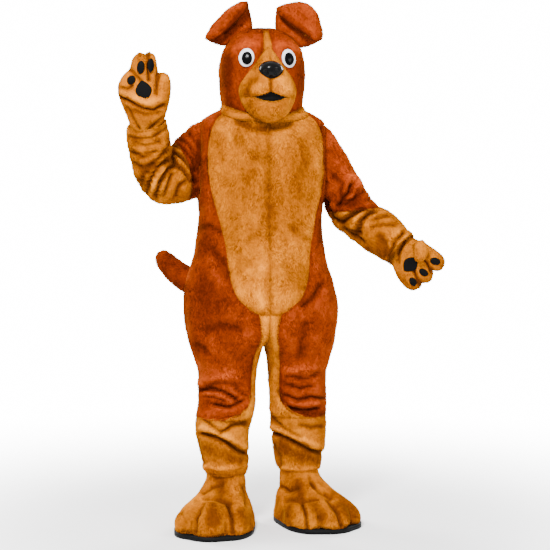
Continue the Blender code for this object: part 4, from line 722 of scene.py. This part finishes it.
def finer(name, levels):
    """A finer, rounder copy of a CAD node. Its rims and corners stay where they are, apart from
    an ear's, which are rounded off."""
    made = bmesh.new()
    made.from_mesh(nodes[name].data)
    bmesh.ops.remove_doubles(made, verts=made.verts, dist=WELD)
    bmesh.ops.join_triangles(made, faces=made.faces, angle_face_threshold=PAIR_BEND,
                             angle_shape_threshold=PAIR_SKEW)
    creases = made.edges.layers.float.new("crease_edge")
    corners = made.verts.layers.float.new("crease_vert")
    sharp = {edge for edge in made.edges
             if len(edge.link_faces) == 2 and edge.calc_face_angle(0) > SHARP_EDGE}
    for edge in sharp:
        edge[creases] = 1.0
    if name.startswith("ear"):
        round_outline(made, sharp)
    for vertex in made.verts:
        if corner_turn(vertex, sharp) > SHARP_CORNER and not name.startswith(ROUND_CORNERED):
            vertex[corners] = 1.0
    mesh = bpy.data.meshes.new(name + "_cloth")
    made.to_mesh(mesh)
    made.free()
    mesh.shade_smooth()
    piece = bpy.data.objects.new(name + "_cloth", mesh)
    bpy.context.scene.collection.objects.link(piece)
    rounder = piece.modifiers.new("rounder", "SUBSURF")
    rounder.levels = rounder.render_levels = levels
    settled = piece.evaluated_get(bpy.context.evaluated_depsgraph_get())
    fine = bpy.data.meshes.new_from_object(settled)
    piece.modifiers.clear()
    piece.data = fine
    bpy.data.meshes.remove(mesh)
    fine.name = piece.name
    fine.materials.clear()
    fine.materials.append(MATERIALS[slot_of[name]])
    return piece


def coordinates(mesh, field="co"):
    """The places of a mesh's vertices, or another field of three numbers, as rows."""
    values = np.zeros(len(mesh.vertices) * 3)
    mesh.vertices.foreach_get(field, values)
    return values.reshape(-1, 3)


def rims(mesh, points):
    """How near each point is to a rim (1 at it, fading out over a seam's reach), and for the
    rim's own points the step that laps them onto the piece across the seam."""
    made = bmesh.new()
    made.from_mesh(mesh)
    lap = np.zeros_like(points)
    rim = set()
    for edge in made.edges:
        if len(edge.link_faces) == 2 and edge.calc_face_angle(0) > SHARP_EDGE:
            narrow = min(edge.link_faces, key=lambda face: face.calc_area())
            for vertex in edge.verts:
                lap[vertex.index] = np.array(narrow.normal) * SEAM_LAP
                rim.add(vertex.index)
    made.free()
    if not rim:
        return np.zeros(len(points)), lap
    tree = KDTree(len(rim))
    for k in rim:
        tree.insert(points[k], k)
    tree.balance()
    near = np.array([math.exp(-(tree.find(point)[2] / SEAM_REACH) ** 2) for point in points])
    return near, lap


def ear_foot(points):
    """The step that sets an ear's foot down into the plush of the head."""
    down = np.array(HEAD_CENTRE) - points
    far = np.linalg.norm(down, axis=1)
    near = np.exp(-((far - far.min()) / EAR_SUNK_REACH) ** 2)
    return down / far[:, None] * (EAR_SUNK * near)[:, None]


# Rumples and folds die down towards a seam. Shade is painted onto the cloth by how deep it lies in
# a fold or a seam, and light onto its drawn ridges, between a darkest and a lightest share.
SEAM_STILLED = 0.75
SEAM_SHADED, SHADE_DEPTH, SHADE_DARKEST, SHADE_LIGHTEST = 0.005, 0.026, 0.3, 1.2


def shape_cloth(name, piece):
    """Moves a cloth's walls together, into folds, rumples and the troughs of its seams, and paints
    shade into its folds and seams and light onto its ridges.
    """
    points, normals = coordinates(piece.data), coordinates(piece.data, field="normal")
    lines = lines_of(name)
    if lines:
        out, along = outward_and_along(points, lines)
        facing = np.where((out * normals).sum(1) < 0, -1.0, 1.0)
    else:
        along = np.tile((0.0, 0.0, -1.0), (len(points), 1))
        facing = np.ones(len(points))
    outward = normals * facing[:, None]
    near_rim, lap = rims(piece.data, points)
    folds = drawn(FOLDS, name, points, outward, FOLD_WIDTH, HIDDEN_FOLDS) * MM * FOLD_DEPTH
    if name.startswith("back"):
        folds += drawn(BACK_FOLDS, name, points, outward, FOLD_WIDTH, 1.0) * MM * FOLD_DEPTH
    shift = folds + rumples(name, points, along)
    shift = shift * (1 - SEAM_STILLED * near_rim) - SEAM_SUNK * near_rim
    moved = points + outward * shift[:, None] + lap
    if name.startswith("ear"):
        moved += ear_foot(points) + normals * EAR_PUFF
    piece.data.vertices.foreach_set("co", moved.ravel())
    piece.data.update()
    # Painted shade in folds and the troughs of seams, painted light on ridges, and the painted
    # light and shade patches, kept as the "lit" attribute.
    lit = piece.data.attributes.new("lit", "FLOAT", "POINT")
    shade = np.clip(1 + (folds - SEAM_SHADED * near_rim) / SHADE_DEPTH, SHADE_DARKEST,
                    SHADE_LIGHTEST)
    lit.data.foreach_set("value", shade * (1 + drawn(PAINTED_LIGHT_AND_SHADE, name, points, outward)))


# ------------------------------------------------------------------ pile
TUFTS_PER_SQUARE_METRE = 80000
TUFT_WIDTH = 0.0014
TUFT_LENGTH = {"boot": 0.0065, "mitt": 0.0055, "muzzle": 0.0055, "jaw": 0.0055, "face": 0.006,
               "blaze": 0.0055, "ear": 0.006, "thumb": 0.005, "neck": 0.0065}
BODY_TUFT = 0.0072
LENGTH_LEAST, LENGTH_LOOSE = 0.85, 0.3
# Tufts grow where the cloth faces outwards and has this much room over it. They start just under
# its surface.
OUTER_LEAST = 0.15
ROOM_FROM, ROOM_NEEDED = 0.0012, 0.006
ROOT_SUNK = 0.0004
# Pieces with no middle line are brushed down and a little forward.
LOOSE_NAP = (0.0, -0.3, -1.0)
# The nap turns and stands up in patches, and each tuft strays a little from its patch.
TURN_SCALE, TURN_MOST, TURN_LOOSE = 16.0, 1.7, 0.22
STAND_SCALE, STAND_SPOT = 24.0, (5, 5, 5)
LIFT, LIFT_STAND, LIFT_LOOSE = 0.62, 0.55, 0.10
LIFT_LEAST, LIFT_MOST = 0.25, 1.6
# How bright a tuft is: at least this, more by chance, with painted sheen where it stands up and in
# fine flecks, all times the painted light and shade of the cloth under it. Its foot is darker than
# its tip, a painted shade under the pile.
SHINE_LEAST, SHINE_LOOSE, PAINTED_SHEEN_STAND, PAINTED_SHEEN_FINE = 0.88, 0.24, 0.30, 0.20
FINE_SCALE = 66.0
FOOT_PAINTED_SHADE = 0.86
# A tuft is lit mostly as the cloth under it, and a little by its own lie and roundness.
SOFT_UP, SOFT_WAY, SOFT_ROUND = 0.8, 0.2, 0.25


def scattered(mesh, lines, random):
    """Random places on a cloth's outer side, even by area: the three corners round each, and the
    share that it has of them."""
    mesh.calc_loop_triangles()
    corners = np.zeros(len(mesh.loop_triangles) * 3, int)
    mesh.loop_triangles.foreach_get("vertices", corners)
    corners = corners.reshape(-1, 3)
    points = coordinates(mesh)
    a, b, c = (points[corners[:, k]] for k in range(3))
    face_normals = np.cross(b - a, c - a)
    areas = np.linalg.norm(face_normals, axis=1) / 2
    face_normals /= np.maximum(2 * areas, 1e-12)[:, None]
    if lines:
        out = outward_and_along((a + b + c) / 3, lines)[0]
        areas = np.where((out * face_normals).sum(1) > OUTER_LEAST, areas, 0.0)
    count = int(areas.sum() * TUFTS_PER_SQUARE_METRE)
    chosen = random.choice(len(areas), count, p=areas / areas.sum())
    u, v = random.random((2, count))
    fold = u + v > 1
    u[fold], v[fold] = 1 - u[fold], 1 - v[fold]
    return corners[chosen], np.stack([1 - u - v, u, v], axis=1)


def unit(ways):
    """Ways made one long."""
    return ways / np.maximum(np.linalg.norm(ways, axis=1), 1e-6)[:, None]


def noise_at(roots, scale, spot=(0, 0, 0)):
    """Soft noise at each root, coming back scale times in a metre and shifted by spot."""
    return np.array([noise.noise(Vector(root) * scale + Vector(spot)) for root in roots])


def brushed(up, along, turned, stand, random):
    """The way each tuft lies: along the body, turned aside and lifted with its patch."""
    nap = unit(along - up * (along * up).sum(1)[:, None])
    side = np.cross(up, nap)
    turn = TURN_MOST * turned + random.normal(0, TURN_LOOSE, len(up))
    lift = LIFT + LIFT_STAND * stand + random.normal(0, LIFT_LOOSE, len(up))
    return unit(nap * np.cos(turn)[:, None] + side * np.sin(turn)[:, None]
                + up * np.clip(lift, LIFT_LEAST, LIFT_MOST)[:, None])


def grow_pile(name, piece, others, seed):
    """Short tufts all over a cloth's outer side, brushed along the body in loose patches."""
    mesh, lines = piece.data, lines_of(name)
    random = np.random.default_rng(seed)
    under, weights = scattered(mesh, lines, random)

    def there(values):
        return (values[under] * weights.reshape(*weights.shape, *[1] * (values.ndim - 1))).sum(1)

    roots, up = there(coordinates(mesh)), unit(there(coordinates(mesh, "normal")))
    # The painted light and shade of the cloth, carried on to each tuft.
    painted_light_under = np.zeros(len(mesh.vertices))
    mesh.attributes["lit"].data.foreach_get("value", painted_light_under)
    free = np.array([others.ray_cast(Vector(root + way * ROOM_FROM), Vector(way),
                                     ROOM_NEEDED)[0] is None for root, way in zip(roots, up)])
    roots, up, painted_light_under = roots[free], up[free], there(painted_light_under)[free]
    count = len(roots)
    along = outward_and_along(roots, lines)[1] if lines else np.tile(LOOSE_NAP, (count, 1))
    stand = noise_at(roots, STAND_SCALE, STAND_SPOT)
    way = brushed(up, along, noise_at(roots, TURN_SCALE), stand, random)
    length = next((TUFT_LENGTH[key] for key in TUFT_LENGTH if name.startswith(key)), BODY_TUFT)
    lengths = length * (LENGTH_LEAST + LENGTH_LOOSE * random.random(count))
    # Random tone, painted sheen where the nap stands up and in flecks, and the cloth's painted
    # light and shade.
    shine = (SHINE_LEAST + SHINE_LOOSE * random.random(count) + PAINTED_SHEEN_STAND * stand
             + PAINTED_SHEEN_FINE * noise_at(roots, FINE_SCALE)) * painted_light_under
    flat = unit(np.cross(way, up))
    deep = np.cross(flat, way)
    base = roots - up * ROOT_SUNK
    verts = np.stack([base + flat * TUFT_WIDTH, base - flat * TUFT_WIDTH,
                      base + deep * TUFT_WIDTH, base + way * lengths[:, None]], axis=1)
    first = np.arange(count)[:, None] * 4
    faces = np.concatenate([first + np.array(face) for face in ((0, 3, 2), (2, 3, 1))])
    pile = bpy.data.meshes.new(name + "_pile")
    pile.from_pydata(verts.reshape(-1, 3), [], faces)
    # Each tuft's brightness, with painted shade at its foot.
    lit = pile.attributes.new("lit", "FLOAT", "POINT")
    lit.data.foreach_set("value", np.stack([shine * FOOT_PAINTED_SHADE] * 3 + [shine], axis=1).ravel())
    pile.shade_smooth()
    soft = ((up * SOFT_UP + way * SOFT_WAY)[:, None, :]
            + np.stack([flat, -flat, deep, way], axis=1) * SOFT_ROUND)
    pile.normals_split_custom_set_from_vertices(unit(soft.reshape(-1, 3)))
    pile.materials.append(MATERIALS[slot_of[name]])
    grown = bpy.data.objects.new(name + "_pile", pile)
    bpy.context.scene.collection.objects.link(grown)
    return grown


# ------------------------------------------------------------------ making it all
# How often a piece's faces are halved.
SOLE_LEVELS, PIECE_LEVELS = 1, 2


def outer_area(mesh):
    """Half the surface of a closed cloth wall: the area of the cut."""
    mesh.calc_loop_triangles()
    areas = np.zeros(len(mesh.loop_triangles))
    mesh.loop_triangles.foreach_get("area", areas)
    return float(areas.sum()) / 2


def all_in_one(pieces):
    """A tree of every piece's faces, to test what stands over a place on the cloth."""
    points, faces = [], []
    for piece in pieces:
        first = len(points)
        points += [vertex.co.copy() for vertex in piece.data.vertices]
        faces += [[first + k for k in face.vertices] for face in piece.data.polygons]
    return BVHTree.FromPolygons(points, faces)


def build_costume():
    """Each CAD node's own finer piece, with a pile on what is plush."""
    pieces, cuts = {}, {}
    for name in sorted(nodes):
        piece = finer(name, SOLE_LEVELS if name.startswith("sole") else PIECE_LEVELS)
        cuts[name] = outer_area(piece.data)
        if slot_of[name].endswith("plush") or name == "nose":
            shape_cloth(name, piece)
        pieces[name] = piece
    everything = all_in_one(pieces.values())
    for seed, (name, piece) in enumerate(pieces.items()):
        pile = None
        if slot_of[name].endswith("plush"):
            pile = grow_pile(name, piece, everything, seed + 1)
            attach(pile, "root")
        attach(piece, "root")
        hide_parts(name)


# ------------------------------------------------------------------ the studio
# The floor's radius, and how far out it starts to fade and is gone.
FLOOR_REACH, FLOOR_SOLID, FLOOR_FADED = 6.0, 0.6, 3.0
FLOOR_SIDES, FLOOR_SUNK = 96, 0.0005


def floor_material():
    """A pale floor near the feet that fades into the white of the studio further out."""
    material = grained("pale floor", dark=(0.93, 0.93, 0.93), pale=(0.96, 0.96, 0.96), rough=0.8,
                       scale=40, bump=0.02, distance=0.0002, shine=0.0)
    graph = Graph(material.node_tree)
    spot = graph.add("ShaderNodeTexCoord").outputs["Object"]
    flat = graph.add("ShaderNodeVectorMath", {0: spot}, operation="MULTIPLY",
                     values={1: (1, 1, 0)}).outputs[0]
    far = graph.add("ShaderNodeVectorMath", {0: flat}, operation="LENGTH").outputs["Value"]
    shown = graph.add("ShaderNodeMapRange", {"Value": far}, interpolation_type="SMOOTHSTEP",
                      values={"From Min": FLOOR_SOLID, "From Max": FLOOR_FADED,
                              "To Min": 1.0, "To Max": 0.0})
    material.node_tree.links.new(shown.outputs[0],
                                 material.node_tree.nodes["Principled BSDF"].inputs["Alpha"])
    return material


def stage():
    """A pale round floor."""
    made = bmesh.new()
    bmesh.ops.create_circle(made, cap_ends=True, segments=FLOOR_SIDES, radius=FLOOR_REACH)
    bmesh.ops.translate(made, vec=(0, 0, FLOOR - FLOOR_SUNK), verts=made.verts)
    mesh = bpy.data.meshes.new("floor")
    made.to_mesh(mesh)
    made.free()
    floor = bpy.data.objects.new("floor", mesh)
    bpy.context.scene.collection.objects.link(floor)
    mesh.materials.append(floor_material())


# How strong the light from all round is, and how bright the backdrop that the camera sees.
AMBIENT, BACKDROP = 1.25, 16.0
# Each lamp's name, place, the place it faces, its side in metres and its power in watts.
LAMPS = [
    ("key", (-1.5, -3.4, 2.2), (0, 0, -0.4), 0.8, 470),
    ("fill", (2.8, -3.0, 0.6), (0, 0, -0.6), 1.6, 110),
    ("back left", (-2.4, 2.6, 1.2), (0, 0, -0.5), 1.4, 210),
    ("back right", (2.4, 2.8, 1.0), (0, 0, -0.5), 1.4, 170),
]


def light(name, place, target, size, power):
    lamp = bpy.data.lights.new(name, "AREA")
    lamp.size, lamp.energy = size, power
    shown = bpy.data.objects.new(name, lamp)
    shown.location = place
    shown.rotation_euler = (Vector(target) - Vector(place)).to_track_quat("-Z", "Y").to_euler()
    bpy.context.scene.collection.objects.link(shown)


def studio():
    """The floor, a soft light from all round, a bright white backdrop and the lamps."""
    stage()
    world = bpy.data.worlds.new("studio")
    bpy.context.scene.world = world
    world.use_nodes = True
    graph = Graph(world.node_tree)
    ambient = world.node_tree.nodes["Background"]
    ambient.inputs["Color"].default_value = (1, 1, 1, 1)
    ambient.inputs["Strength"].default_value = AMBIENT
    backdrop = graph.add("ShaderNodeBackground", values={0: (1, 1, 1, 1), 1: BACKDROP})
    path = graph.add("ShaderNodeLightPath").outputs["Is Camera Ray"]
    mixed = graph.add("ShaderNodeMixShader", {0: path, 1: ambient.outputs[0],
                                              2: backdrop.outputs[0]})
    world.node_tree.links.new(mixed.outputs[0], world.node_tree.nodes["World Output"].inputs[0])
    for lamp in LAMPS:
        light(*lamp)


build_costume()
studio()
